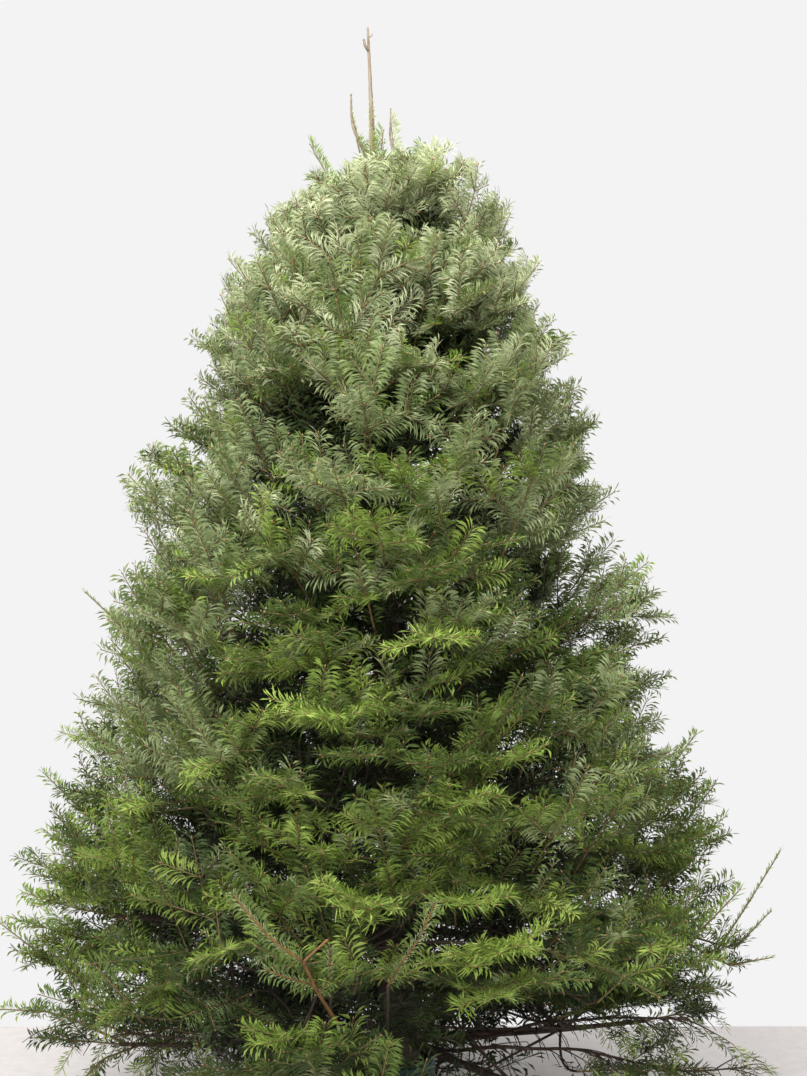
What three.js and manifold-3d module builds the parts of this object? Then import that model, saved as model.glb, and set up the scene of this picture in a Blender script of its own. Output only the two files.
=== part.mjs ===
// A cut fir, sheared to a full cone, held upright in a round green plastic stand.
// The trunk runs whole from its flat cut in the bowl to the bare tip of the leader. Round it
// stand seven whorls of foliage and the two halves of the top. Each foliage mass is one stem
// with a dense core, and with toothed sprays on side twigs out to the crown's surface.
// Units are millimetres, +Z is up, and the origin is on the floor under the middle of the stand.
import * as THREE from "three";
import Module from "manifold-3d";

const wasm = await Module();
wasm.setup();

// Driving dimensions
const TREE_TOP = 2163; // tip of the leader above the floor
const LEADER_FOOT = 1868; // where the last year's leader starts
const LEAN = 62; // how far the tip stands to the left of the foot
const CROWN_FOOT = 120; // height of the lowest sprays
const CROWN_TOP = 1960; // height where the full crown closes round the leader
const CROWN_REACH = 740; // from the trunk to the tips of the widest boughs
const CROWN_POWER = 0.45; // how full the cone is: 1 is a straight cone
const TRUNK_R = 41; // trunk radius just above the stand
const SEAT_GAP = 0.3; // clearance between pieces that touch

// Whorls, from the lowest: how many boughs, how many degrees the first one is turned from +X,
// the share of each bough that is bare, and how many degrees its sprays rise.
const WHORLS = [
  { count: 6, turn: 8, bare: 0.4, rise: 24 },
  { count: 6, turn: 15, bare: 0.34, rise: 40 },
  { count: 5, turn: 36, bare: 0.26, rise: 48 },
  { count: 5, turn: 0, bare: 0.2, rise: 52 },
  { count: 4, turn: 20, bare: 0.16, rise: 54 },
  { count: 4, turn: 65, bare: 0.14, rise: 58 },
  { count: 3, turn: 30, bare: 0.12, rise: 64 },
  { count: 2, turn: 0, bare: 0.1, rise: 74 },
];
const BOUGH_WHORLS = 3; // whorls whose bare boughs show below the foliage as pieces of their own
const SPACE_FOOT = [115, 330, 545, 770, 1000, 1225, 1430, 1620, 1925]; // whorl limits at the trunk
const SPACE_RIM = [95, 360, 640, 920, 1195, 1440, 1640, 1795, 1975]; // and at the crown's surface

// Single shoots that stand out of the crown: degrees from +X, then radius and height of the
// root and of the tip.
const LONG_SHOOTS = [
  { turn: -4, root: [640, 395], tip: [748, 582] },
  { turn: 177, root: [500, 985], tip: [598, 1072] },
  { turn: 172, root: [640, 640], tip: [716, 706] },
  { turn: 184, root: [690, 372], tip: [766, 442] },
  { turn: 190, root: [600, 205], tip: [690, 166] },
  { turn: 158, root: [60, 1815], tip: [144, 1950] },
];
// Bare one-year shoots beside the leader: degrees from +X, then [radius, height] of their line.
const BARE_SHOOTS = [
  { turn: 178, line: [[9, 1852], [22, 1905], [40, 1960], [44, 2027]] },
  { turn: -20, line: [[9, 1845], [28, 1895], [38, 1940], [40, 1998]] },
];

const rad = THREE.MathUtils.degToRad;
const lerp = THREE.MathUtils.lerp;
const vec = (x, y, z) => new THREE.Vector3(x, y, z);
const UP = vec(0, 0, 1);

// Evenly spread numbers from 0 to 1 that come out the same every time for a seed.
function dealer(seed) {
  let state = seed * 7919 + 13;
  return () => (state = (state * 48271) % 2147483647) / 2147483647;
}

function solidOf(points, faces) {
  const vertProperties = new Float32Array(points.flatMap((p) => [p.x, p.y, p.z]));
  const triVerts = new Uint32Array(faces.flat());
  return new wasm.Manifold(new wasm.Mesh({ numProp: 3, vertProperties, triVerts }));
}

// A round-cornered limb through the points, with one radius for each, closed flat at both ends.
function limb(points, radii, sides) {
  const corners = [];
  let side = vec(0, 0, 0);
  points.forEach((point, i) => {
    const ahead = points[Math.min(i + 1, points.length - 1)];
    const behind = points[Math.max(i - 1, 0)];
    const along = ahead.clone().sub(behind).normalize();
    if (i === 0) side.crossVectors(Math.abs(along.z) < 0.9 ? UP : vec(1, 0, 0), along);
    side = side.addScaledVector(along, -side.dot(along)).normalize();
    const other = vec(0, 0, 0).crossVectors(along, side);
    for (let k = 0; k < sides; k++) {
      const turn = (k / sides) * 2 * Math.PI;
      const out = side.clone().multiplyScalar(Math.cos(turn)).addScaledVector(other, Math.sin(turn));
      corners.push(point.clone().addScaledVector(out, radii[i]));
    }
  });
  const faces = [];
  for (let i = 0; i < points.length - 1; i++) {
    for (let k = 0; k < sides; k++) {
      const a = i * sides + k;
      const b = i * sides + ((k + 1) % sides);
      faces.push([a, b, b + sides], [a, b + sides, a + sides]);
    }
  }
  const last = (points.length - 1) * sides;
  for (let k = 1; k < sides - 1; k++) {
    faces.push([0, k + 1, k], [last, last + k, last + k + 1]);
  }
  return solidOf(corners, faces);
}

// The edge of a flat spray along a midrib: pairs of pointed side shoots, and the notches between.
// at(s) is the midrib's point and half(s) the half width, for s from 0 at the root to 1.
function sprayEdge(at, half, pairs, across) {
  const sideways = (s, share) => at(s).addScaledVector(across, share * half(s));
  const step = 1 / (pairs + 0.4);
  const teeth = (sign) =>
    Array.from({ length: pairs }, (_, i) => sideways((i + 1.15) * step, sign));
  const notches = (sign) =>
    Array.from({ length: pairs }, (_, i) => sideways(i * step, (i ? 0.36 : 0.12) * sign));
  return { teeth, notches, step };
}

// The spray itself, thickest along the ridge, on a twig of its own that starts at the foot.
function spray(at, half, pairs, across, thick, foot) {
  const up = at(1).sub(at(0)).cross(across).normalize();
  const edge = sprayEdge(at, half, pairs, across);
  const points = [foot, at(1)];
  const faces = [];
  const add = (list) => list.map((p) => points.push(p) - 1);
  const ridge = [1, -1].map((sign) =>
    add(
      Array.from({ length: pairs }, (_, i) =>
        at(i * edge.step).addScaledVector(up, sign * (i ? 0.5 * thick : Math.min(3, 0.5 * thick))),
      ),
    ),
  );
  for (const sign of [1, -1]) {
    const tips = add(edge.teeth(sign));
    const dips = add(edge.notches(sign));
    [1, -1].forEach((face, f) => {
      const spine = [...ridge[f], 1];
      const put = (a, b, c) => faces.push(sign * face > 0 ? [a, b, c] : [a, c, b]);
      put(0, spine[0], dips[0]);
      for (let i = 0; i < pairs; i++) {
        put(spine[i], spine[i + 1], tips[i]);
        put(spine[i], tips[i], dips[i]);
        if (i < pairs - 1) put(spine[i + 1], dips[i + 1], tips[i]);
      }
    });
  }
  return solidOf(points, faces);
}

// Trunk

const HELD = 165; // the foot stands upright in the stand up to this height

// The trunk's centre at a height: upright in the stand, then leaning left, with a slight sway.
function trunkAt(z) {
  const share = Math.max(0, z - HELD) / (TREE_TOP - HELD);
  const x = -LEAN * share ** 1.1 + 3 * Math.sin(share * 9);
  return vec(x, 4 * Math.sin(share * 7), z);
}

const TRUNK_CUT = 8 + SEAT_GAP; // the flat cut stands on the floor of the bowl
const FLARE = 4; // the butt is this much thicker at the cut
const FLARE_HEIGHT = 45;
const LEADER_R = 6.5;
const TIP_R = 1.8;

function trunkRadius(z) {
  if (z > LEADER_FOOT) {
    return lerp(LEADER_R, TIP_R, (z - LEADER_FOOT) / (TREE_TOP - LEADER_FOOT));
  }
  const taper = lerp(TRUNK_R, 8.5, Math.max(0, z - 150) / (LEADER_FOOT - 150));
  return taper + FLARE * Math.exp(-(z - TRUNK_CUT) / FLARE_HEIGHT);
}

// The trunk, or the same shape grown by a gap, to cut clear what stands against it.
function trunkSolid(grow) {
  const heights = [TRUNK_CUT, 40, 90, 160];
  for (let z = 330; z < LEADER_FOOT; z += 250) heights.push(z);
  heights.push(LEADER_FOOT - 12, LEADER_FOOT + 12, 1960, 2060, TREE_TOP);
  const radii = heights.map((z) => trunkRadius(z) + grow);
  return limb(heights.map(trunkAt), radii, 10);
}

// Two short prongs and the buds at the leader's tip.
function leaderProngs() {
  const prongs = [
    { turn: 185, foot: 2108, out: 13, rise: 30 },
    { turn: 10, foot: 2122, out: 12, rise: 22 },
    { turn: 80, foot: 2062, out: 7, rise: 8 },
  ];
  return prongs.map(({ turn, foot, out, rise }) => {
    const start = trunkAt(foot);
    const away = vec(Math.cos(rad(turn)), Math.sin(rad(turn)), 0);
    const end = start.clone().addScaledVector(away, out).addScaledVector(UP, rise);
    return limb([start, end], [2.4, 1.4], 4);
  });
}

const trunk = leaderProngs().reduce((whole, prong) => whole.add(prong), trunkSolid(0));
const trunkGrown = trunkSolid(SEAT_GAP + 0.15);

// Crown

// How far the crown reaches from the trunk at a height and a turn: fuller on the left below and
// on the right above.
function reach(z, turn) {
  const share = THREE.MathUtils.clamp((z - CROWN_FOOT) / (CROWN_TOP - CROWN_FOOT), 0, 1);
  const cone = CROWN_REACH * Math.max(1 - share, 0.035) ** CROWN_POWER;
  const tuckedIn = z < 320 ? 1 - 0.13 * ((320 - z) / 150) ** 2 : 1;
  const lopsided = (0.24 * share ** 3 - 0.06) * Math.cos(turn);
  return cone * tuckedIn * (1 + lopsided + 0.02 * Math.sin(3 * turn + z / 140));
}

// A point of the crown: radius from the trunk, turn round it, and height.
function crownPoint(radius, turn, z) {
  return trunkAt(z).add(vec(radius * Math.cos(turn), radius * Math.sin(turn), 0));
}

// Height of the limit under a whorl, which slopes up from the trunk to the crown's surface.
function limitAt(whorl, radius) {
  const rim = SPACE_RIM[whorl];
  return lerp(SPACE_FOOT[whorl], rim, Math.min(radius / reach(rim, Math.PI / 2), 1.25));
}

// Each mass keeps to its own space: a slice between two limits.
function inSpace(mass, point, margin) {
  const centre = trunkAt(point.z);
  const x = point.x - centre.x;
  const y = point.y - centre.y;
  const radius = Math.hypot(x, y);
  let off = Math.abs(Math.atan2(y, x) - mass.turn) % (2 * Math.PI);
  off = Math.min(off, 2 * Math.PI - off);
  if (off >= mass.half) return false;
  const toSide = mass.half - off < Math.PI / 2 ? radius * Math.sin(mass.half - off) : radius;
  return (
    toSide > margin &&
    point.z > limitAt(mass.whorl, radius) + margin &&
    point.z < limitAt(mass.whorl + 1, radius) - margin
  );
}

// The line of a bough and of the stem that goes on from it: bent down first, then up to its tip.
function boughLine(whorl, turn) {
  const foot = lerp(SPACE_FOOT[whorl], SPACE_FOOT[whorl + 1], 0.42);
  const tip = lerp(SPACE_RIM[whorl], SPACE_RIM[whorl + 1], 0.5);
  const far = reach(tip, turn) - 12;
  const sag = whorl < 2 ? -22 : 8;
  return new THREE.QuadraticBezierCurve3(
    crownPoint(0, turn, foot),
    crownPoint(far * 0.5, turn, lerp(foot, tip, 0.5) + sag),
    crownPoint(far, turn, tip),
  );
}

const BOUGH_R = [9, 8.5, 7.5, 6.5, 6, 5.2, 4.6, 4.2]; // radius at the trunk, for each whorl

function boughRadius(whorl, t) {
  return BOUGH_R[whorl] * (1 - 0.72 * t);
}

// A stretch of the bough's line as a limb.
function stretch(mass, from, to, steps, sides) {
  const ts = Array.from({ length: steps + 1 }, (_, i) => lerp(from, to, i / steps));
  const radii = ts.map((t) => boughRadius(mass.whorl, t));
  return limb(ts.map((t) => mass.line.getPoint(t)), radii, sides);
}

// The dense heart of a mass: one broad, thick frond along the stem, inside the mass's space.
function core(mass) {
  const share = (s) => lerp(mass.bare + 0.06, 0.78, s);
  const at = (s) => mass.line.getPoint(share(s));
  const across = vec(-Math.sin(mass.turn), Math.cos(mass.turn), 0);
  const half = (s) => {
    const wedge = mass.reach * share(s) * Math.sin(Math.min(0.86 * mass.half, 1));
    return Math.min(wedge, 0.5 * mass.reach) * (1.1 - s) ** 0.5;
  };
  const high = limitAt(mass.whorl + 1, mass.reach) - limitAt(mass.whorl, mass.reach);
  const thick = mass.whorl === 0 ? 0.3 : 0.52;
  return spray(at, half, 3, across, thick * high, mass.line.getPoint(mass.bare + 0.01));
}

// Whether the points keep to the mass's space, off the trunk and outside the bare bough.
function clearOf(mass, points) {
  const bareReach = mass.whorl < BOUGH_WHORLS ? mass.bare * mass.reach : 0;
  return points.every((p) => {
    if (!inSpace(mass, p, 4)) return false;
    const centre = trunkAt(p.z);
    return Math.hypot(p.x - centre.x, p.y - centre.y) > Math.max(trunkRadius(p.z), bareReach) + 4;
  });
}

const SPRAY_PAIRS = 3;

// Half width of a spray along its midrib: widest at the first pair, and pointed.
function sprayHalf(length) {
  return (s) => 0.48 * length * Math.min(1, 0.35 + 1.6 * s) * (1.08 - s) ** 0.9;
}

// One toothed spray whose tip is at a point of the crown's surface, on a twig from the stem.
function sprayOnTwig(mass, tip, turn, rise, length, roll) {
  const out = vec(Math.cos(turn), Math.sin(turn), 0);
  const along = out.clone().multiplyScalar(Math.cos(rise)).addScaledVector(UP, Math.sin(rise));
  const level = vec(0, 0, 0).crossVectors(UP, along).normalize();
  const across = level.clone().applyAxisAngle(along, roll);
  const at = (s) => tip.clone().addScaledVector(along, (s - 1) * length);
  const half = sprayHalf(length);
  const root = at(0);
  const centre = trunkAt(root.z);
  const rootRadius = Math.hypot(root.x - centre.x, root.y - centre.y);
  const rootTurn = Math.atan2(root.y - centre.y, root.x - centre.x);
  const beside = Math.abs(rootRadius * Math.sin(rootTurn - mass.turn));
  const share = (rootRadius - 0.8 * beside - 0.15 * length) / mass.reach;
  const t = THREE.MathUtils.clamp(share, mass.bare + 0.05, 0.86);
  const foot = mass.line.getPoint(t);
  const edge = sprayEdge(at, half, SPRAY_PAIRS, across);
  const tests = [root, at(0.5), at(1), ...edge.teeth(1), ...edge.teeth(-1)];
  tests.push(foot.clone().lerp(root, 0.3), foot.clone().lerp(root, 0.65));
  if (!clearOf(mass, tests)) return null;
  return spray(at, half, SPRAY_PAIRS, across, 0.03 * length + 3, foot);
}

// The rows of sprays in a mass, from the top: the height of their tips as a share of the space,
// how far out they stand as a share of the crown's reach, how many, and how steeply they rise.
function rowsOf(mass) {
  if (mass.whorl === WHORLS.length - 1) {
    return [
      { height: 0.9, out: 1, count: 4, steep: 1 },
      { height: 0.5, out: 1.1, count: 3, steep: 0.75 },
    ];
  }
  return [
    { height: 0.9, out: 0.5, count: mass.whorl === 0 ? 0 : 1, steep: 1.4 },
    { height: 0.9, out: 1, count: 3, steep: 1 },
    { height: 0.54, out: 1, count: mass.whorl < 3 ? 2 : 3, steep: 0.8 },
  ];
}

// Ways to fit a spray into its space: degrees it is turned, its size, and how much of its own
// lean and roll it keeps.
const FITS = [[0, 1, 1], [-12, 1, 1], [12, 0.9, 0.5], [-24, 0.9, 0.5], [-8, 0.72, 0], [-34, 0.72, 0]];

function spraysOf(mass) {
  const deal = dealer(mass.seed);
  const made = [];
  const length = 165 + 0.12 * mass.reach;
  rowsOf(mass).forEach(({ height, out, count, steep }) => {
    for (let i = 0; i < count; i++) {
      const spread = ((i + 0.5) / count) * 2 - 1 + (deal() - 0.5) * 0.16;
      const turn = mass.turn + spread * mass.half * 0.9;
      const low = limitAt(mass.whorl, mass.reach * out);
      const high = limitAt(mass.whorl + 1, mass.reach * out);
      const z = lerp(low, high, height + (deal() - 0.5) * 0.12);
      const radius = reach(z, turn) * out * (1 - 0.08 * deal()) - 4;
      const roll = (deal() - 0.5) * 0.9;
      const lean = (deal() - 0.5) * 0.3;
      const size = length * (out < 1 ? 0.8 : 1) * (0.9 + 0.2 * deal());
      const tip = crownPoint(radius, turn, z);
      const rise = Math.min(mass.rise * steep, 76);
      let one = null;
      for (const [turned, shrunk, eased] of FITS) {
        if (one) break;
        const [side, up] = [turn + lean * eased, rad(rise + turned)];
        one = sprayOnTwig(mass, tip, side, up, size * shrunk, roll * eased);
      }
      if (one) made.push(one);
    }
  });
  return made;
}

// The long shoots that start in this mass's space, each with a slim spray to its tip.
function longShootsOf(mass) {
  const made = [];
  for (const { turn, root, tip } of LONG_SHOOTS) {
    const ends = [root, tip].map(([radius, z]) => crownPoint(radius, rad(turn), z));
    if (!ends.every((p) => inSpace(mass, p, 2))) continue;
    const share = THREE.MathUtils.clamp((root[0] - 60) / mass.reach, mass.bare + 0.04, 0.74);
    const curve = new THREE.QuadraticBezierCurve3(mass.line.getPoint(share), ...ends);
    const at = (s) => curve.getPoint(lerp(0.4, 1, s));
    const across = vec(0, 0, 0).crossVectors(UP, ends[1].clone().sub(ends[0])).normalize();
    const half = (s) => 26 * Math.sin(Math.PI * (0.2 + 0.75 * s));
    const twig = [0, 0.2, 0.45].map((s) => curve.getPoint(s));
    made.push(limb(twig, [4.5, 4, 3], 4), spray(at, half, 3, across, 8, curve.getPoint(0.36)));
  }
  return made;
}

function bareShootsOf(mass) {
  const made = [];
  if (mass.whorl < WHORLS.length - 1) return made;
  for (const { turn, line } of BARE_SHOOTS) {
    const points = line.map(([radius, z]) => crownPoint(radius, rad(turn), z));
    if (!inSpace(mass, points[1], 0)) continue;
    made.push(limb([mass.line.getPoint(0.12), ...points.slice(1)], [3.6, 3.2, 2.8, 1.6], 5));
  }
  return made;
}

function largest(solid) {
  return solid.decompose().reduce((best, s) => (s.volume() > best.volume() ? s : best));
}

// One mass: its stem, the core round it, and the sprays that stand out of that.
function foliage(mass) {
  const ownBough = mass.whorl < BOUGH_WHORLS;
  const length = mass.line.getLength();
  const from = ownBough ? mass.bare + SEAT_GAP / length : 0;
  let whole = stretch(mass, from, 0.6, 2, 5).add(core(mass));
  for (const piece of [...spraysOf(mass), ...longShootsOf(mass), ...bareShootsOf(mass)]) {
    whole = whole.add(piece);
  }
  return largest(whole.subtract(trunkGrown));
}

const masses = WHORLS.flatMap((whorl, w) =>
  Array.from({ length: whorl.count }, (_, i) => {
    let turn = rad(whorl.turn + (360 / whorl.count) * i);
    if (turn > Math.PI) turn -= 2 * Math.PI;
    const line = boughLine(w, turn);
    const tip = lerp(SPACE_RIM[w], SPACE_RIM[w + 1], 0.5);
    return {
      whorl: w,
      number: i + 1,
      turn,
      half: Math.PI / whorl.count,
      bare: whorl.bare,
      rise: whorl.rise,
      reach: reach(tip, turn),
      line,
      seed: 17 * w + i + 1,
    };
  }),
);

// Stand

const STAND_R = 215;
const NECK_R = 66; // outer radius of the neck round the trunk
const NECK_TOP = 165;
const BOWL_R = 58; // inside of the bowl
const BOWL_FLOOR = 8;
const WALL = 5;
const STAND_SIDES = 20;
const SCREW_Z = 138;
const SCREW_R = 4;

// The outside of the body: a bell from the foot rim up to the neck.
function bell(share, inwards) {
  const r = NECK_R + (STAND_R - NECK_R) * (1 - share) ** 1.9;
  return new THREE.Vector2(r - inwards, 10 + (NECK_TOP - 20) * share);
}

function standBody() {
  const profile = [new THREE.Vector2(0, 0), new THREE.Vector2(BOWL_R + WALL - 8, 0)];
  profile.push(new THREE.Vector2(BOWL_R + WALL, 12), new THREE.Vector2(BOWL_R + WALL, 84));
  for (const share of [0.56, 0.28]) {
    profile.push(bell(share, WALL).sub(new THREE.Vector2(0, WALL)));
  }
  profile.push(new THREE.Vector2(STAND_R - WALL, 0), new THREE.Vector2(STAND_R, 0));
  for (const share of [0, 0.12, 0.28, 0.5, 0.76]) profile.push(bell(share, 0));
  profile.push(new THREE.Vector2(NECK_R + 3, NECK_TOP - 12));
  profile.push(new THREE.Vector2(NECK_R - 2, NECK_TOP), new THREE.Vector2(BOWL_R, NECK_TOP - 2));
  profile.push(new THREE.Vector2(BOWL_R, BOWL_FLOOR), new THREE.Vector2(0, BOWL_FLOOR));
  const points = [];
  const rings = profile.map((p) => {
    const count = p.x === 0 ? 1 : STAND_SIDES;
    return Array.from({ length: count }, (_, k) => {
      const turn = (k / STAND_SIDES) * 2 * Math.PI;
      return points.push(vec(p.x * Math.cos(turn), p.x * Math.sin(turn), p.y)) - 1;
    });
  });
  const faces = [];
  for (let i = 0; i < rings.length - 1; i++) {
    for (let k = 0; k < STAND_SIDES; k++) {
      const [a, b] = [rings[i], rings[i + 1]];
      const next = (k + 1) % STAND_SIDES;
      if (b.length > 1) faces.push([a[k % a.length], b[next], b[k]]);
      if (a.length > 1) faces.push([a[k], a[next], b[next % b.length]]);
    }
  }
  let body = solidOf(points, faces);
  for (const turn of SCREW_TURNS) {
    const line = [BOWL_R - 6, NECK_R + 60].map((r) =>
      vec(r * Math.cos(turn), r * Math.sin(turn), SCREW_Z),
    );
    body = body.subtract(limb(line, [SCREW_R + 0.8, SCREW_R + 0.8], 8));
  }
  return body;
}

const SCREW_TURNS = [45, 135, 225, 315].map(rad);
const SCREW_END = 138; // radius where the cross handle sits
const HANDLE_HALF = 23;

// A clamping screw: the rod, a foot that presses on the bark, and a cross handle.
function screw(turn) {
  const out = vec(Math.cos(turn), Math.sin(turn), 0);
  const at = (r) => vec(0, 0, SCREW_Z).addScaledVector(out, r);
  const across = vec(-out.y, out.x, 0);
  const handle = [-1, 1].map((side) => at(SCREW_END).addScaledVector(across, side * HANDLE_HALF));
  return limb([at(30), at(SCREW_END + 3)], [SCREW_R, SCREW_R], 8)
    .add(limb([at(30), at(48)], [8, 8], 8))
    .add(limb(handle, [4.5, 4.5], 6))
    .subtract(trunkGrown);
}

// Assembly

const tree = new THREE.Group();

function addPiece(name, solid, material) {
  const mesh = solid.getMesh();
  const geometry = new THREE.BufferGeometry();
  const places = new Float32Array(mesh.numVert * 3);
  for (let i = 0; i < mesh.numVert; i++) {
    places.set(mesh.vertProperties.subarray(i * mesh.numProp, i * mesh.numProp + 3), i * 3);
  }
  geometry.setAttribute("position", new THREE.BufferAttribute(places, 3));
  geometry.setIndex(new THREE.BufferAttribute(new Uint32Array(mesh.triVerts), 1));
  geometry.computeVertexNormals();
  const piece = new THREE.Mesh(geometry, material);
  piece.name = name;
  tree.add(piece);
}

const finish = (color, roughness, metalness) =>
  new THREE.MeshStandardMaterial({ color, roughness, metalness });
const bark = finish(0x4a3a30, 0.9, 0);
const limbBark = finish(0x6b4a34, 0.85, 0);
const needles = [finish(0x3f5a2a, 0.6, 0), finish(0x55722f, 0.6, 0), finish(0x6d8458, 0.6, 0)];
const greenPlastic = finish(0x1f4a3a, 0.45, 0);
const steel = finish(0x9a9c9e, 0.35, 1);

addPiece("stand_body", standBody(), greenPlastic);
SCREW_TURNS.forEach((turn, i) => addPiece("stand_screw_" + (i + 1), screw(turn), steel));
addPiece("trunk", trunk, bark);

for (const mass of masses) {
  const where = mass.whorl + 1 + "_" + mass.number;
  if (mass.whorl < BOUGH_WHORLS) {
    const bough = stretch(mass, 0, mass.bare, 3, 5).subtract(trunkGrown);
    addPiece("bough_" + where, largest(bough), limbBark);
  }
  const top = mass.whorl === WHORLS.length - 1;
  const name = top ? ["foliage_top_right", "foliage_top_left"][mass.number - 1] : "foliage_" + where;
  addPiece(name, foliage(mass), needles[mass.whorl < 2 ? 0 : mass.whorl < 5 ? 1 : 2]);
}

export default tree;
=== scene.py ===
# A cut fir, sheared to a full cone, standing on the floor in a round green plastic stand.
# It is put together from the floor up: the stand and its screws, the trunk, the bare boughs,
# the stems and twigs of each foliage mass, and the needles on them. Lengths are millimetres
# unless a line says otherwise, and each mesh is scaled to metres as it is made.
from math import asin, atan2, ceil, cos, exp, hypot, pi, prod, radians, sin
from types import SimpleNamespace

import bpy
import numpy as np
from mathutils import Matrix, Vector


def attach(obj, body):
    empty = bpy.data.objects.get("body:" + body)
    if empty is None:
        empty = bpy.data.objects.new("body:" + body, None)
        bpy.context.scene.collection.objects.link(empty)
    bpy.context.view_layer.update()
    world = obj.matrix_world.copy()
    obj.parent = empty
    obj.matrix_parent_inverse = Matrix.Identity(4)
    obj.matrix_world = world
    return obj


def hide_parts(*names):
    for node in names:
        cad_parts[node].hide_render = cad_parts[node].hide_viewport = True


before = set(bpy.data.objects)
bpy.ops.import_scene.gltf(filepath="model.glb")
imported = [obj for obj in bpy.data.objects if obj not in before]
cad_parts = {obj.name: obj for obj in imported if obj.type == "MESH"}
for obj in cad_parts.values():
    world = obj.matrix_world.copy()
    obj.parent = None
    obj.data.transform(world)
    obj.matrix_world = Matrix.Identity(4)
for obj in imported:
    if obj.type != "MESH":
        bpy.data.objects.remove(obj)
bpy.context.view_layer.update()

# Viewpoint: a level camera a little above the middle of the tree and three metres in front of
# its trunk, with the photograph's narrow upright frame.
SENSOR = 36
FRAME_HEIGHT = 1076
FOCAL_PIXELS = 1550
camera_data = bpy.data.cameras.new("viewpoint")
camera_data.sensor_width = SENSOR
camera_data.lens = SENSOR * FOCAL_PIXELS / FRAME_HEIGHT
camera = bpy.data.objects.new("viewpoint", camera_data)
camera.location = (0.0087, -3.0, 1.17)
camera.rotation_euler = (radians(90), 0, 0)
bpy.context.collection.objects.link(camera)
bpy.context.scene.camera = camera

# Floor and light: a pale floor that ends a short way behind the tree, a pale surround that
# lights it softly from all sides, and two broad lamps, at the upper left and overhead.
MM = 0.001


def place_mesh(name, points, faces, material, smooth=True):
    """A mesh object from an array of points in millimetres and an array of faces."""
    faces = np.asarray(faces, dtype=np.int32)
    mesh = bpy.data.meshes.new(name)
    mesh.vertices.add(len(points))
    mesh.vertices.foreach_set("co", (np.asarray(points, dtype=np.float32) * MM).ravel())
    mesh.loops.add(faces.size)
    mesh.loops.foreach_set("vertex_index", faces.ravel())
    mesh.polygons.add(len(faces))
    starts = np.arange(0, faces.size, faces.shape[1], dtype=np.int32)
    mesh.polygons.foreach_set("loop_start", starts)
    mesh.polygons.foreach_set("use_smooth", np.full(len(faces), smooth))
    mesh.update(calc_edges=True)
    mesh.materials.append(material)
    piece = bpy.data.objects.new(name, mesh)
    bpy.context.collection.objects.link(piece)
    return piece


def noise_of(tree, place, scale, detail, stretch=(1, 1, 1)):
    """Soft noise over a piece, with so many lumps to the metre, stretched along an axis."""
    mapping = tree.nodes.new("ShaderNodeMapping")
    mapping.inputs["Scale"].default_value = stretch
    noise = tree.nodes.new("ShaderNodeTexNoise")
    noise.inputs["Scale"].default_value = scale
    noise.inputs["Detail"].default_value = detail
    tree.links.new(place, mapping.inputs["Vector"])
    tree.links.new(mapping.outputs["Vector"], noise.inputs["Vector"])
    return noise.outputs["Fac"]


def grained_finish(name, roughness, grain, stops, relief=None, metallic=0.0, specular=0.5):
    """A finish whose colour drifts over the piece, with small bumps where relief is given.

    The grain is the noise's lumps to the metre, detail and stretch. Relief is the bumps' depth
    in metres, and then their own grain. A stop is a value of the noise and the colour there.
    """
    material = bpy.data.materials.new(name)
    material.use_nodes = True
    tree = material.node_tree
    shader = tree.nodes["Principled BSDF"]
    shader.inputs["Roughness"].default_value = roughness
    shader.inputs["Metallic"].default_value = metallic
    shader.inputs["Specular IOR Level"].default_value = specular
    place = tree.nodes.new("ShaderNodeTexCoord").outputs["Object"]
    value = noise_of(tree, place, *grain)
    ramp = tree.nodes.new("ShaderNodeValToRGB")
    elements = ramp.color_ramp.elements
    while len(elements) < len(stops):
        elements.new(0.5)
    for element, (where, *colour) in zip(elements, stops):
        element.position = where
        element.color = (*colour, 1)
    tree.links.new(value, ramp.inputs["Fac"])
    tree.links.new(ramp.outputs["Color"], shader.inputs["Base Color"])
    if relief:
        depth, *lumps = relief
        height = noise_of(tree, place, *lumps)
        bump = tree.nodes.new("ShaderNodeBump")
        bump.inputs["Distance"].default_value = depth
        tree.links.new(height, bump.inputs["Height"])
        tree.links.new(bump.outputs["Normal"], shader.inputs["Normal"])
    return material


FLOOR_CORNERS = [(-1900, -3200, -2), (1900, -3200, -2), (1900, 720, -2), (-1900, 720, -2)]
stops = [(0.3, 0.545, 0.512, 0.494), (0.7, 0.6, 0.568, 0.55)]
floor_finish = grained_finish("pale_floor", 0.8, (40, 3), stops)
floor = place_mesh("floor", FLOOR_CORNERS, [(0, 1, 2, 3)], floor_finish, smooth=False)

world = bpy.data.worlds.new("surround")
world.use_nodes = True
background = world.node_tree.nodes["Background"]
background.inputs["Color"].default_value = (0.875, 0.87, 0.875, 1)
background.inputs["Strength"].default_value = 1.03
bpy.context.scene.world = world
bpy.context.scene.view_settings.view_transform = "Standard"

# For each lamp: its place and width in metres, and its power in watts
LAMPS = [("side_lamp", (-1.3, -2.8, 3.4), 1.8, 120), ("top_lamp", (-0.2, -0.7, 3.9), 2.2, 90)]
LAMPS_AIM = Vector((0, 0, 1.0))
for name, lamp_place, size, watts in LAMPS:
    lamp_data = bpy.data.lights.new(name, "AREA")
    lamp_data.shape = "DISK"
    lamp_data.size = size
    lamp_data.energy = watts
    lamp = bpy.data.objects.new(name, lamp_data)
    lamp.location = lamp_place
    lamp.rotation_euler = (LAMPS_AIM - lamp.location).to_track_quat("-Z", "Y").to_euler()
    bpy.context.collection.objects.link(lamp)

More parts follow.
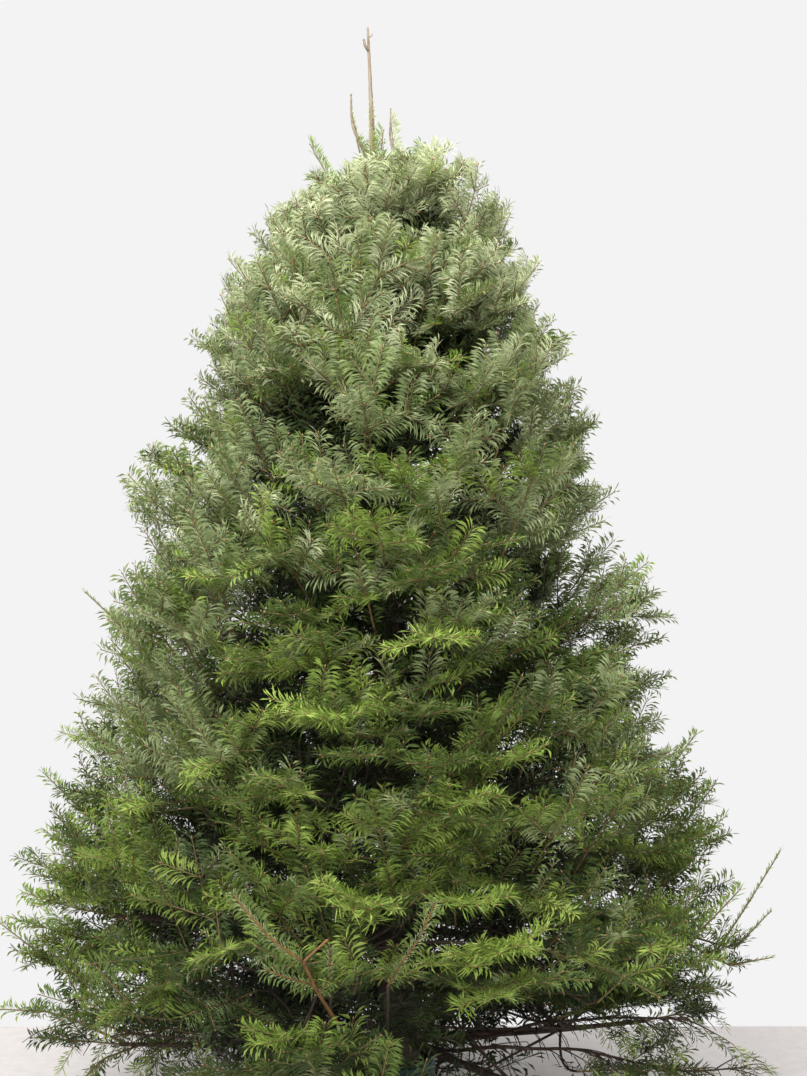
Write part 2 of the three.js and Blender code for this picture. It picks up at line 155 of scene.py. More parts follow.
# Stand body: one round moulding of dark green plastic, a bell that spreads from the neck to a
# wide foot, with the water bowl inside it. It is turned from its profile, with a round boss on
# the neck for each clamping screw.
STAND_R = 215
NECK_R = 66
NECK_TOP = 165
BOWL_R = 58
BOWL_FLOOR = 8
WALL = 5
BELL_CURVE = 1.9
BELL_EDGE = 10
SCREW_Z = 138
SCREW_TURNS = [radians(turn) for turn in (45, 135, 225, 315)]
# The boss that a screw goes through: its radius at each distance from the trunk's axis
BOSS = [(5, 57), (13.2, 57), (13.2, 82), (12, 84.5), (9, 85.5), (5.4, 85.5), (5, 85), (5, 57)]


def round_turns(sides):
    """The turns of points evenly spaced round a piece."""
    return np.linspace(0, 2 * pi, sides, endpoint=False)


def turned(profile, sides):
    """Points and faces of a profile of (radius, height), turned round the upright axis."""
    turns = round_turns(sides)
    radius, height = np.array(profile, dtype=float).T
    x = np.outer(np.cos(turns), radius)
    y = np.outer(np.sin(turns), radius)
    z = np.tile(height, (sides, 1))
    rows = np.arange(sides * len(profile)).reshape(sides, len(profile))
    ahead = np.roll(rows, -1, axis=0)
    faces = [rows[:, :-1], ahead[:, :-1], ahead[:, 1:], rows[:, 1:]]
    return np.stack([x, y, z], axis=-1).reshape(-1, 3), np.stack(faces, axis=-1).reshape(-1, 4)


def laid_outward(points, turn):
    """Points made along the upright axis, laid level at the screws' height and turned."""
    outward = Matrix.Rotation(turn, 3, "Z") @ Matrix.Rotation(pi / 2, 3, "Y")
    return points @ np.array(outward).T + (0, 0, SCREW_Z)


def joined(parts):
    """One array of points and one of faces out of several of each."""
    shift = np.cumsum([0] + [len(points) for points, _ in parts[:-1]])
    points = np.concatenate([points for points, _ in parts])
    return points, np.concatenate([faces + by for (_, faces), by in zip(parts, shift)])


def bell_radius(share):
    return NECK_R + (STAND_R - NECK_R) * (1 - share) ** BELL_CURVE


def bell_height(share):
    return BELL_EDGE + (NECK_TOP - 2 * BELL_EDGE) * share


profile = [(0.01, 0), (BOWL_R - 3, 0), (BOWL_R + WALL, 6), (BOWL_R + WALL, 84)]
profile += [(bell_radius(s) - WALL, bell_height(s) - WALL) for s in (0.56, 0.4, 0.28, 0.16, 0.06)]
profile += [(STAND_R - WALL, 0.6), (STAND_R - WALL + 0.8, 0), (STAND_R - 1.5, 0)]
profile += [(STAND_R, 1.5), (STAND_R, 7.5), (STAND_R - 1.2, 10)]
profile += [(bell_radius(s), bell_height(s)) for s in np.linspace(0.02, 0.94, 22)]
profile += [(NECK_R + 2, 151), (NECK_R + 2.6, 154), (NECK_R + 2.6, 160), (NECK_R + 1, 163.5)]
profile += [(NECK_R - 2, 165), (BOWL_R + 2, 165), (BOWL_R, 163), (BOWL_R, 14)]
profile += [(BOWL_R - 5, BOWL_FLOOR), (0.01, BOWL_FLOOR)]
stand_parts = [turned(profile, 96)]
for turn in SCREW_TURNS:
    points, faces = turned(BOSS, 32)
    stand_parts.append((laid_outward(points, turn), faces))
stops = [(0.3, 0.010, 0.058, 0.043), (0.72, 0.018, 0.085, 0.066)]
relief = (0.0002, 900, 2)
stand_finish = grained_finish("green_moulding", 0.38, (14, 4), stops, relief, specular=0.45)
stand = place_mesh("stand_moulding", *joined(stand_parts), stand_finish)
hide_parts("stand_body")
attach(stand, "root")

# Clamping screws: four zinc-plated steel rods with a coarse rolled thread. Each goes through
# its boss, presses a round foot on the bark, and has a bent cross handle at its outer end.
SCREW_R = 4
SCREW_END = 138
THREAD_FROM = 44
THREAD_PITCH = 3.2
THREAD_DEPTH = 0.9
THREAD_SIDES = 14
CLOSED_R = 0.05
FOOT = [(CLOSED_R, 42.4), (7, 42.4), (8, 43.4), (8, 46.5), (7, 48), (CLOSED_R, 48)]
HANDLE = [(CLOSED_R, -23), (3.4, -23), (4.5, -21.5), (4.5, 21.5), (3.4, 23), (CLOSED_R, 23)]
stops = [(0.3, 0.42, 0.43, 0.44), (0.75, 0.62, 0.62, 0.6)]
relief = (0.00005, 1500, 2)
steel_finish = grained_finish("zinc_plate", 0.32, (120, 4), stops, relief, metallic=1.0)


def tube_faces(shape):
    """Four-sided faces of tubes whose points come ring by ring, in an array of that shape."""
    rows = np.arange(prod(shape)).reshape(shape)
    beside = np.roll(rows, -1, axis=-1)
    faces = [rows[..., :-1, :], beside[..., :-1, :], beside[..., 1:, :], rows[..., 1:, :]]
    return np.stack(faces, axis=-1).reshape(-1, 4)


def threaded_rod(start, end):
    """A rod along the upright axis with a helical thread."""
    turns = round_turns(THREAD_SIDES)
    heights = np.arange(start, end, THREAD_PITCH / 4)[:, None]
    phase = (heights / THREAD_PITCH - turns / (2 * pi)) % 1
    radius = SCREW_R - THREAD_DEPTH * np.abs(2 * phase - 1) ** 1.5
    radius[[0, -1]] = CLOSED_R
    z = np.repeat(heights, THREAD_SIDES, axis=1)
    points = np.stack([radius * np.cos(turns), radius * np.sin(turns), z], axis=-1)
    return points.reshape(-1, 3), tube_faces(radius.shape)


crosswise = np.array(Matrix.Rotation(pi / 2, 3, "X"))
for number, turn in enumerate(SCREW_TURNS, 1):
    points, faces = turned(HANDLE, 20)
    handle = (points @ crosswise.T + (0, 0, SCREW_END), faces)
    points, faces = joined([threaded_rod(THREAD_FROM, SCREW_END + 2), turned(FOOT, 24), handle])
    name = "clamp_screw_" + str(number)
    clamp = place_mesh(name, laid_outward(points, turn), faces, steel_finish)
    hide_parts("stand_screw_" + str(number))
    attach(clamp, "root")

# Trunk: one stem of fir from its sawn butt in the bowl up to the leader. It is upright in the
# stand and leans left above it. The bark is dark and fairly smooth, with small resin blisters,
# shallow cracks near the butt and a collar where each ring of boughs leaves it.
TREE_TOP = 2163
LEADER_FOOT = 1868
LEAN = 62
HELD = 165
TRUNK_R = 41
TRUNK_TOP_R = 8.5
TAPER_FROM = 150
TRUNK_CUT = 8.3
FLARE = 4
FLARE_HEIGHT = 45
LEADER_R = 6.5
TIP_R = 1.8
SPACE_FOOT = [115, 330, 545, 770, 1000, 1225, 1430, 1620, 1925]
COLLAR_AT = 0.42


def mix(a, b, share):
    return a + (b - a) * share


def trunk_at(z):
    """The trunk's centre at a height: it leans left, and sways a few millimetres on the way."""
    share = max(0, z - HELD) / (TREE_TOP - HELD)
    x = -LEAN * share**1.1 + 3 * sin(share * 9)
    return Vector((x, 4 * sin(share * 7), z))


def trunk_radius(z):
    if z > LEADER_FOOT:
        return mix(LEADER_R, TIP_R, (z - LEADER_FOOT) / (TREE_TOP - LEADER_FOOT))
    taper = mix(TRUNK_R, TRUNK_TOP_R, max(0, z - TAPER_FROM) / (LEADER_FOOT - TAPER_FROM))
    return taper + FLARE * exp(-(z - TRUNK_CUT) / FLARE_HEIGHT)


def ripples(first, second, waves, seed):
    """A lumpy value round and along a limb: a sum of waves that closes round it.

    Each row of waves is the fewest and most lumps round it, how close they come along it, and
    their size.
    """
    deal = np.random.default_rng(seed)
    total = np.zeros(np.broadcast(first, second).shape)
    for low, high, along, size in waves:
        for _ in range(5):
            turns = deal.integers(low, high + 1)
            total += size / 5 * np.sin(turns * first + along * deal.uniform(-1, 1) * second
                                       + deal.uniform(0, 6.3))
    return total


def barked_limb(centres, radii, sides, relief):
    """A limb with closed ends: ring after ring of points round the centres, raised by relief."""
    ahead = np.gradient(np.array(centres), axis=0)
    ahead /= np.linalg.norm(ahead, axis=1, keepdims=True)
    grown = np.array(radii)[:, None] + relief
    centres, ahead, grown = (np.concatenate([a[:1], a, a[-1:]]) for a in (centres, ahead, grown))
    grown[[0, -1]] = CLOSED_R
    helper = np.array((0, 0, 1.0)) if abs(ahead[0, 2]) < 0.7 else np.array((1.0, 0, 0))
    side = np.cross(helper, ahead)
    side /= np.linalg.norm(side, axis=1, keepdims=True)
    other = np.cross(ahead, side)
    turns = round_turns(sides)[:, None]
    ring = side[:, None] * np.cos(turns) + other[:, None] * np.sin(turns)
    points = centres[:, None] + ring * grown[..., None]
    return points.reshape(-1, 3), tube_faces(grown.shape)


BARK_STEP = 4
TRUNK_SIDES = 44
CRACK_DEPTH = 1.6
CRACKED_HEIGHT = 700
COLLAR_RISE = 1.8
COLLAR_HALF = 16
heights = np.append(np.arange(TRUNK_CUT, LEADER_FOOT, BARK_STEP), LEADER_FOOT)
centres = [trunk_at(z) for z in heights]
radii = [trunk_radius(min(z, LEADER_FOOT - 1)) for z in heights]
turns = round_turns(TRUNK_SIDES)[None, :]
along = heights[:, None]
relief = ripples(turns, along, [(1, 3, 0.01, 1.6), (4, 9, 0.05, 1.2), (10, 20, 0.25, 1.0)], 3)
cracks = np.abs(ripples(turns, along, [(7, 14, 0.03, 2.2)], 4))
relief -= CRACK_DEPTH * np.exp(-cracks * 7) * np.exp(-along / CRACKED_HEIGHT)
for foot, above in zip(SPACE_FOOT, SPACE_FOOT[1:]):
    collar = mix(foot, above, COLLAR_AT)
    relief += COLLAR_RISE * np.exp(-(((along - collar) / COLLAR_HALF) ** 2))
relief *= np.array(radii)[:, None] / (TRUNK_R + FLARE)
points, faces = barked_limb(centres, radii, TRUNK_SIDES, relief)
stops = [(0.25, 0.035, 0.022, 0.016), (0.5, 0.075, 0.047, 0.034), (0.78, 0.15, 0.105, 0.08)]
relief = (0.0016, 260, 5, (1, 1, 0.5))
bark_finish = grained_finish("trunk_bark", 0.9, (60, 6, (1, 1, 0.35)), stops, relief)
trunk = place_mesh("trunk_bark", points, faces, bark_finish)
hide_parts("trunk")
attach(trunk, "root")

# Leader: last summer's shoot above the crown, bare and tan, with two short prongs near its top
# and fat pointed buds at every end.
# For each prong: the turn, the height of its foot, how far it goes out and up, and its radius
PRONGS = [(185, 2112, 10, 24, 2.9), (10, 2139, 8, 8, 1.3), (80, 2062, 6, 7, 1.2)]
LEADER_RINGS = 72
LEADER_SIDES = 12
PRONG_SIDES = 8


def bud(tip, ahead, size):
    """A pointed bud: an egg of rings round its axis, closed at both ends."""
    ahead = ahead.normalized()
    profile = [(-0.9, 0.2), (-0.6, 0.8), (0, 1), (0.7, 0.75), (1.3, 0.35), (1.6, 0.02)]
    centres = [tip + ahead * size * (s - 0.8) for s, _ in profile]
    return barked_limb(centres, [size * r for _, r in profile], 8, np.zeros((len(profile), 8)))


heights = np.linspace(LEADER_FOOT - 8, TREE_TOP - 3, LEADER_RINGS)
centres = [trunk_at(z) for z in heights]
radii = [trunk_radius(max(z, LEADER_FOOT + 1)) for z in heights]
relief = ripples(round_turns(LEADER_SIDES)[None, :], heights[:, None], [(2, 4, 0.3, 0.5)], 8)
leader_parts = [barked_limb(centres, radii, LEADER_SIDES, relief)]
leader_parts.append(bud(trunk_at(TREE_TOP - 4), Vector((0, 0, 1)), 2.0))
for turn, foot, out, climb, thick in PRONGS:
    start = trunk_at(foot)
    away = Vector((cos(radians(turn)), sin(radians(turn)), 0))
    end = start + away * out + Vector((0, 0, climb))
    middle = start.lerp(end, 0.5) + away * 2.5
    line = [start, start.lerp(middle, 0.7), middle, middle.lerp(end, 0.5), end]
    radii = [thick, thick, thick * 0.95, thick * 0.85, thick * 0.65]
    smooth_wood = np.zeros((len(line), PRONG_SIDES))
    leader_parts.append(barked_limb(line, radii, PRONG_SIDES, smooth_wood))
    leader_parts.append(bud(end, end - middle, thick * 0.9))
stops = [(0.3, 0.13, 0.088, 0.054), (0.5, 0.25, 0.185, 0.125), (0.75, 0.31, 0.26, 0.2)]
relief = (0.0004, 700, 3)
leader_finish = grained_finish("leader_bark", 0.7, (90, 4, (1, 1, 0.4)), stops, relief)
leader = place_mesh("leader_shoot", *joined(leader_parts), leader_finish)
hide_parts("trunk")
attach(leader, "root")

# Main boughs: the bare inner part of the lowest three rings of boughs, each a tapering limb of
# the same wood that leaves the trunk at a collar and ends where it enters its foliage.
CROWN_FOOT = 120
CROWN_TOP = 1960
CROWN_REACH = 740
CROWN_POWER = 0.45
SPACE_RIM = [95, 360, 640, 920, 1195, 1440, 1640, 1795, 1975]
CROWN_LIMIT = 1925
BOUGH_R = [9, 8.5, 7.5, 6.5, 6, 5.2, 4.6, 4.2]
BOUGH_WHORLS = 3
# For each whorl of boughs: how many, degrees the first is turned, bare share, rise of its sprays
WHORLS = [(6, 8, 0.4, 24), (6, 15, 0.34, 40), (5, 36, 0.26, 48), (5, 0, 0.2, 52)]
WHORLS += [(4, 20, 0.16, 54), (4, 65, 0.14, 58), (3, 30, 0.12, 64), (2, 0, 0.1, 74)]
# How the crown draws in at its foot, leans to one side and is lobed, as shares of its reach
FOOT_TUCK = 0.13
TUCK_FROM = 320
TUCK_OVER = 150
LOPSIDED = (0.24, 0.06)
LOBES = 0.02


def clip(value, low=0, high=1):
    return min(max(value, low), high)


def crown_reach(z, turn):
    """How far the crown reaches from the trunk at a height and a turn."""
    share = clip((z - CROWN_FOOT) / (CROWN_TOP - CROWN_FOOT))
    cone = CROWN_REACH * max(1 - share, 0.035) ** CROWN_POWER
    tucked_in = 1 - FOOT_TUCK * ((TUCK_FROM - z) / TUCK_OVER) ** 2 if z < TUCK_FROM else 1
    to_side = (LOPSIDED[0] * share**3 - LOPSIDED[1]) * cos(turn)
    return cone * tucked_in * (1 + to_side + LOBES * sin(3 * turn + z / 140))


def crown_point(radius, turn, z):
    return trunk_at(z) + Vector((radius * cos(turn), radius * sin(turn), 0))


def bough_line(whorl, turn):
    """The three points that bend a bough and its stem, from the trunk's middle to the tip."""
    foot = mix(SPACE_FOOT[whorl], SPACE_FOOT[whorl + 1], COLLAR_AT)
    tip = mix(SPACE_RIM[whorl], SPACE_RIM[whorl + 1], 0.5)
    far = crown_reach(tip, turn) - 12
    sag = -22 if whorl < 2 else 8
    middle = crown_point(far * 0.5, turn, mix(foot, tip, 0.5) + sag)
    return crown_point(0, turn, foot), middle, crown_point(far, turn, tip)


def along_line(line, share):
    start, middle, end = line
    return start.lerp(middle, share).lerp(middle.lerp(end, share), share)


def bough_radius(whorl, share):
    return BOUGH_R[whorl] * (1 - 0.72 * share)


masses = []
for whorl, (count, first, bare, rise) in enumerate(WHORLS):
    for i in range(count):
        turn = radians(first + 360 / count * i)
        if turn > pi:
            turn -= 2 * pi
        tip = mix(SPACE_RIM[whorl], SPACE_RIM[whorl + 1], 0.5)
        masses.append(SimpleNamespace(
            whorl=whorl, number=i + 1, seed=17 * whorl + i + 1, turn=turn, half=pi / count,
            bare=bare, rise=rise, reach=crown_reach(tip, turn), line=bough_line(whorl, turn)))


def bough_stretch(mass, start, end, sides, step, seed):
    """A stretch of a bough's line as a limb with bark relief."""
    length = (mass.line[2] - mass.line[0]).length * (end - start)
    shares = np.linspace(start, end, max(4, int(length / step)))
    radii = [bough_radius(mass.whorl, s) for s in shares]
    turns = round_turns(sides)[None, :]
    waves = [(1, 2, 0.05, 0.7), (3, 5, 0.4, 0.6)]
    relief = ripples(turns, shares[:, None] * length * 4, waves, seed)
    relief *= np.array(radii)[:, None] / 9
    return barked_limb([along_line(mass.line, s) for s in shares], radii, sides, relief)


bough_parts = []
bough_nodes = []
for mass in masses:
    if mass.whorl < BOUGH_WHORLS:
        inside = 0.6 * trunk_radius(mass.line[0].z) / mass.reach
        bough_parts.append(bough_stretch(mass, inside, mass.bare, 12, 6, mass.seed))
        bough_nodes.append("bough_%d_%d" % (mass.whorl + 1, mass.number))
stops = [(0.25, 0.026, 0.017, 0.012), (0.52, 0.06, 0.038, 0.026), (0.8, 0.12, 0.08, 0.055)]
bough_finish = grained_finish("bough_bark", 0.85, (110, 5), stops, (0.0009, 420, 4))
boughs = place_mesh("bough_bark", *joined(bough_parts), bough_finish)
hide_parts(*bough_nodes)
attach(boughs, "root")

# Stems: each bough goes on through its foliage mass to the crown's surface, thinner and with
# younger bark. Twigs leave it all along, and each carries a flat spray of shoots at its end.
STEM_START = 0.02
STEM_END = 0.76
TOP_NODES = ["foliage_top_right", "foliage_top_left"]
foliage_nodes = []
stem_parts = []
for mass in masses:
    start = mass.bare if mass.whorl < BOUGH_WHORLS else STEM_START
    stem_parts.append(bough_stretch(mass, start, STEM_END, 7, 18, mass.seed + 200))
    if mass.whorl == len(WHORLS) - 1:
        foliage_nodes.append(TOP_NODES[mass.number - 1])
    else:
        foliage_nodes.append("foliage_%d_%d" % (mass.whorl + 1, mass.number))
stems = place_mesh("foliage_stems", *joined(stem_parts), bough_finish)
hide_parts(*foliage_nodes)
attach(stems, "root")

# Shoots: every twig and shoot is a thin bent line from its foot to its tip. A frond is a bough
# end: a middle shoot with pairs of side shoots roughly in one plane, and feathers that stand up
# from it. Fronds sit all over each mass's part of the crown, and darker ones fill it behind;
# their dark shades are partly the older needles there and partly painted shade.
UP = Vector((0, 0, 1))
LOWEST = 62
shoots = []


def dealer(seed):
    """Evenly spread numbers from 0 to 1 that come out the same every time for a seed."""
    state = seed * 7919 + 13

    def deal():
        nonlocal state
        state = state * 48271 % 2147483647
        return state / 2147483647

    return deal


SLOPE_END = 1.25


def limit_at(whorl, radius):
    """Height of the limit under a whorl, which slopes up from the trunk to the surface."""
    rim = SPACE_RIM[whorl]
    share = min(radius / crown_reach(rim, pi / 2), SLOPE_END)
    return mix(SPACE_FOOT[whorl], rim, share)


def add_shoot(start, middle, end, face, radii, needles, shade, droop=0.0):
    """One twig or shoot, with the kind of needles on it and their shade."""
    shoots.append(SimpleNamespace(line=(start, middle, end), face=face, radii=radii,
                                  needles=needles, shade=shade, droop=droop))


def turned_up(ahead, face, amount):
    """A direction turned from a frond's plane towards its upper face."""
    return (ahead * cos(amount) + face * sin(amount)).normalized()


# The dressed crown against the frame's: its share all over, a waist under its top, and for each
# side how much wider it is, its swells and dips, and its tuck at the foot. A swell is a height,
# a spread and a share. A tuck is a share, the height under which it starts, and its spread.
DRESSED = 0.995
WAIST = (1530, 130, -0.06)
RIGHT_SWELLS = [(640, 130, 0.05), (1740, 70, -0.07), (1580, 52, -0.112), (1190, 45, -0.08)]
LEFT_SWELLS = [(1650, 80, 0.11), (1470, 65, -0.13), (1130, 90, -0.03), (735, 62, -0.09)]
RIGHT_SIDE = (0.03, RIGHT_SWELLS, (0.04, 330, 50))
LEFT_SIDE = (0.01, LEFT_SWELLS, (0.17, 345, 45))


def swell(z, height, spread, share):
    return share * exp(-(((z - height) / spread) ** 2))


def outline_at(z, turn):
    """How far the dressed crown reaches from the trunk at a height and a turn."""
    wider, swells, (tuck, tuck_from, spread) = LEFT_SIDE if cos(turn) < 0 else RIGHT_SIDE
    wider += sum(swell(z, *row) for row in swells) - tuck * clip((tuck_from - z) / spread)
    return crown_reach(z, turn) * (DRESSED + swell(z, *WAIST) + cos(turn) ** 2 * wider)


# The sheared surface: how far tips stand past it and how it waves, and its sloping top, which
# falls off fast as far as the left shoulder and slowly beyond it
TIPS_PAST = 1.02
SURFACE_WAVE = 14
SHOULDER = 65
SHOULDER_FALL = (0.95, 0.4)
DEPTH_FALL = 0.38
TOP_WAVE = 10
INSIDE_DROP = 260


def kept_inside(foot, end, share):
    """The end, drawn in towards its foot where it would pass the crown's sheared outline."""
    away = end - trunk_at(end.z)
    radius = hypot(away.x, away.y)
    turn = atan2(away.y, away.x)
    wave = SURFACE_WAVE * sin(end.z / 25 + 2 * turn)
    limit = (outline_at(end.z, turn) * TIPS_PAST + wave) * share
    if radius > limit:
        end = foot.lerp(end, max(0.4, limit / radius))
    left = max(0, -away.x)
    fall = SHOULDER_FALL[0] * min(left, SHOULDER) + SHOULDER_FALL[1] * max(left - SHOULDER, 0)
    fall += DEPTH_FALL * abs(away.y) + TOP_WAVE * sin(5 * turn + 1)
    ceiling = CROWN_LIMIT - fall - INSIDE_DROP * (1 - share)
    if end.z > ceiling:
        end = foot.lerp(end, clip((ceiling - foot.z) / max(end.z - foot.z, 1), 0.3))
    return end


# Shares of a frond's length for its three years of growth, and the radii of their wood
YEARS = [(0.36, 2.3, 1.8), (0.34, 1.7, 1.3), (0.30, 1.3, 0.9)]
# The shade of the oldest growth in a frond, which is darker than the new growth at its tips
OLDER = {"bright": "fresh", "fresh": "green", "green": "deep", "soft": "green", "sage": "soft",
         "pale": "soft"}
INSIDE = {"full": 1.0, "raised": 1.0, "middle": 0.84, "inner": 0.68}
# How a frond branches, each from and to: its reach, the degrees at which a side shoot opens and
# lifts, its size, and the droop of its needles; and how many later side shoots are missing
REACH_PLAY = (0.9, 1.1)
SIDE_OPENING = (44, 60)
SIDE_LIFT = (-12, 22)
SIDE_SIZE = (0.72, 0.92)
DROOP = (0.2, 0.6)
MISSING = 0.12
STANDING_SIZE = (0.8, 1.1)


def grow_frond(foot, ahead, face, length, year, kind, z_mass, deal):
    """A frond: one shoot, and at its end, three years over, a shoot ahead and one to each side."""
    needles, years, standing = kind
    share, thick, thin = YEARS[year]
    face = (face - ahead * face.dot(ahead)).normalized()
    reach = length * share * mix(*REACH_PLAY, deal())
    end = kept_inside(foot, foot + (ahead + UP * 0.06) * reach, INSIDE[needles])
    middle = foot.lerp(end, 0.5) - UP * 0.05 * reach
    old_needles = "worn" if needles in ("full", "raised") and year == 0 else needles
    rolled = (face + ahead.cross(face) * (deal() - 0.5) * 1.1).normalized()
    shade = shade_of(z_mass, abs(ahead.z) if year else 0, deal)
    if year == 0 and z_mass is not None:
        shade = OLDER.get(shade, shade)
    droop = mix(*DROOP, deal())
    add_shoot(foot, middle, end, rolled, (thick, thin), old_needles, shade, droop)
    if year + 1 == years:
        return
    across = face.cross(ahead)
    for way in (0, 1, -1):
        opening = way * radians(mix(*SIDE_OPENING, deal())) + (deal() - 0.5) * 0.2
        bent_ahead = ahead * cos(opening) + across * sin(opening)
        if way:
            lifted = radians(mix(*SIDE_LIFT, deal() ** 1.4))
            size = length * mix(*SIDE_SIZE, deal())
        else:
            lifted = (deal() - 0.5) * 0.3
            size = length
        if way and year and deal() < MISSING:
            continue
        bent_ahead = turned_up(bent_ahead, face, lifted)
        grow_frond(end, bent_ahead, face, size, year + 1, kind, z_mass, deal)
    if deal() < standing:
        lean = across * (deal() - 0.5) * 0.9 + ahead * (0.2 + 0.5 * deal())
        upward = (UP + lean).normalized()
        size = length * mix(*STANDING_SIZE, deal())
        grow_frond(end, upward, -ahead, size, years - 1, kind, z_mass, deal)


TWIG_RADII = (2.8, 2.4)
MOST_BEND = 110
HANGING_BEND = 40


def frond_on_twig(mass, tip, turn, rise, length, roll, kind, z_mass, deal):
    """A frond whose tip is at a point of the crown, and the twig that carries it."""
    out = Vector((cos(turn), sin(turn), 0))
    along = out * cos(rise) + UP * sin(rise)
    across = Matrix.Rotation(roll, 3, along) @ UP.cross(along).normalized()
    root = tip - along * length
    away = root - trunk_at(root.z)
    radius = hypot(away.x, away.y)
    beside = abs(radius * sin(atan2(away.y, away.x) - mass.turn))
    share = (radius - 0.8 * beside - 0.15 * length) / mass.reach - 0.22 * deal()
    share = clip(share, mass.bare + 0.05 + 0.1 * deal(), STEM_END)
    foot = along_line(mass.line, share)
    most = MOST_BEND if root.z > foot.z - 20 else HANGING_BEND
    bend = root - along * min(0.5 * (root - foot).length, most)
    face = along.cross(across)
    # The twig's sparse needles take the darkest shade, partly old needles and partly painted
    # shade.
    add_shoot(foot, bend, root, face, TWIG_RADII, "sparse", "shaded")
    grow_frond(root, along, face, length, 0, kind, z_mass, deal)


# Heights between which the dark greens of the lowest sprays give way, and between which the
# pale ones of the top come in. The dark greens low down are painted shade, and the pale ones
# high up are painted light.
DARK_UNTIL = 330
DARK_FADES = 570
PALE_STARTS = 700
PALE_FULL = 1850


def shade_of(z, upright, deal):
    """The shade of a shoot, by its height and how upright it stands, dealt out by spray: darker
    low down as painted shade, and paler in the upper crown as painted light.

    A shoot inside the crown has no height and takes one of the two darkest shades, partly
    older needles and partly painted shade. A placed spray has the name of its shade.
    """
    # Inside the crown: the darkest shades, partly painted shade.
    if z is None:
        return "shaded" if deal() < 0.45 else "deep"
    if isinstance(z, str):
        return z
    # Low down, darker greens: painted shade.
    low = clip((DARK_FADES - z) / (DARK_FADES - DARK_UNTIL))
    if deal() < 0.82 * low:
        return "deep" if deal() < 0.6 else "green"
    # Higher up, paler shades: painted light.
    pale = clip((z - PALE_STARTS) / (PALE_FULL - PALE_STARTS))
    if deal() < 0.8 * pale**3.2:
        return "pale"
    dealt = deal()
    if dealt < 0.14 + 0.4 * upright + 0.15 * pale:
        return "sage" if deal() < 0.3 + 0.5 * pale else "green"
    if dealt < 0.85 + 0.1 * pale and dealt * 7 % 1 < 0.9 * pale:
        return "soft"
    if dealt < 0.34 + 0.2 * upright:
        return "green"
    if dealt < 0.72 + 0.04 * pale:
        return "fresh"
    if dealt < 0.85 + 0.1 * pale:
        return "bright"
    return "deep" if deal() > pale else "sage"


def bare_below(tip):
    """Height under which few sprays are left on the lowest boughs, near a point of the crown."""
    if tip.x > 130:
        return 255 - 0.36 * tip.y
    if tip.x > 0:
        return 150 - 0.34 * tip.y
    return 225 - 0.31 * tip.y if tip.x < -360 else 0


# The front spray, low on the left, and the second one beside it: each limb's radii and points
FRONT_LIMBS = [
    (4.2, 3.4, [(-8, -42, 205), (-30, -300, 232), (-49, -470, 305), (-92, -545, 395)]),
    (3.2, 2.8, [(-92, -545, 395), (-123, -590, 460), (-145, -625, 520)]),
    (2.1, 1.3, [(-145, -625, 520), (-194, -645, 561), (-236, -650, 612), (-249, -650, 629)]),
    (2.2, 1.7, [(-145, -625, 520), (-128, -624, 536), (-108, -620, 553)]),
    (1.5, 1.0, [(-123, -590, 460), (-104, -600, 486), (-104, -610, 535)]),
    (1.6, 1.0, [(-132, -602, 480), (-165, -625, 494), (-203, -640, 514)]),
    (3.4, 2.6, [(0, -40, 215), (-20, -330, 300), (-16, -560, 465)]),
    (1.8, 1.2, [(-16, -560, 465), (6, -590, 510), (34, -610, 552), (57, -625, 612)]),
]
FRONT_CLEAR = 66
FRONT_LINE = [Vector(point) for _, _, points in FRONT_LIMBS for point in points if point[2] > 440]
FRONT_LINE += [Vector((48, -640, z)) for z in (380, 430)]
# Paler shades for the sprays at the two sides, painted light where light comes through them, and
# where those start
PALER = {"deep": "green", "green": "soft", "fresh": "sage", "soft": "sage", "bright": "fresh"}
PALE_SIDES = 0.78
PALE_MARGIN = 0.16
PALE_FROM = 740
# Hollows between the sprays: the middle and size of each, and a slanting row of them low right
HOLLOWS = [
    (5, -375, 1570, 72), (-31, -600, 935, 60), (-108, -610, 715, 66), (-60, -640, 400, 66),
    (-2, -385, 1450, 36), (-134, -360, 1435, 36), (35, -370, 1515, 42), (-335, -60, 1503, 60),
    (58, -345, 1548, 50), (-112, -610, 676, 52), (-372, -400, 801, 56), (-194, -520, 818, 46),
    (-192, -575, 594, 50), (-528, -60, 1040, 50), (-620, -60, 300, 60), (-600, 60, 300, 60),
    (-640, -150, 300, 60), (480, -100, 235, 80), (470, -250, 270, 80),
]
HOLLOWS += [(x + 0.05 * y, y, 177 - 0.33 * y, 80) for x in (155, 250) for y in range(-500, 0, 100)]
# Heights between which sprays are fewer at the right, and the share that is missing there
THINNED = [(900, 1080), (1480, 1700)]
THINNED_SHARE = 0.22
INNER_TOP = CROWN_LIMIT - 130


def in_hollow(tip):
    return any((tip - Vector(row[:3])).length < row[3] for row in HOLLOWS)


def left_out(mass, tip, z, showing, deal):
    """Whether a place stays without a frond: low bare parts, thin places and the front spray's."""
    kept = 0.2 if showing and tip.x < 0 else 0.06
    if not showing and -60 < tip.x < 180:
        kept = 0.8
    if mass.whorl < 2 and z < bare_below(tip) and deal() > kept:
        return True
    thinned = any(low < z < high for low, high in THINNED)
    if thinned and tip.x > 0.5 * mass.reach and deal() < THINNED_SHARE:
        return True
    if not showing:
        return z > INNER_TOP
    return any((tip - point).length < FRONT_CLEAR for point in FRONT_LINE)


# For each layer of fronds: share of the reach, steps across and up, kind, and whether it shows
LAYERS = [
    (1.0, 128, 118, ("full", 3, 0.6), True),
    (0.75, 150, 125, ("middle", 3, 0.2), False),
    (0.52, 140, 120, ("inner", 3, 0), False),
]
UPPER_KIND = ("raised", 3, 0.6)
UPPER_WHORL = 5
UPPER_STEP = 0.8
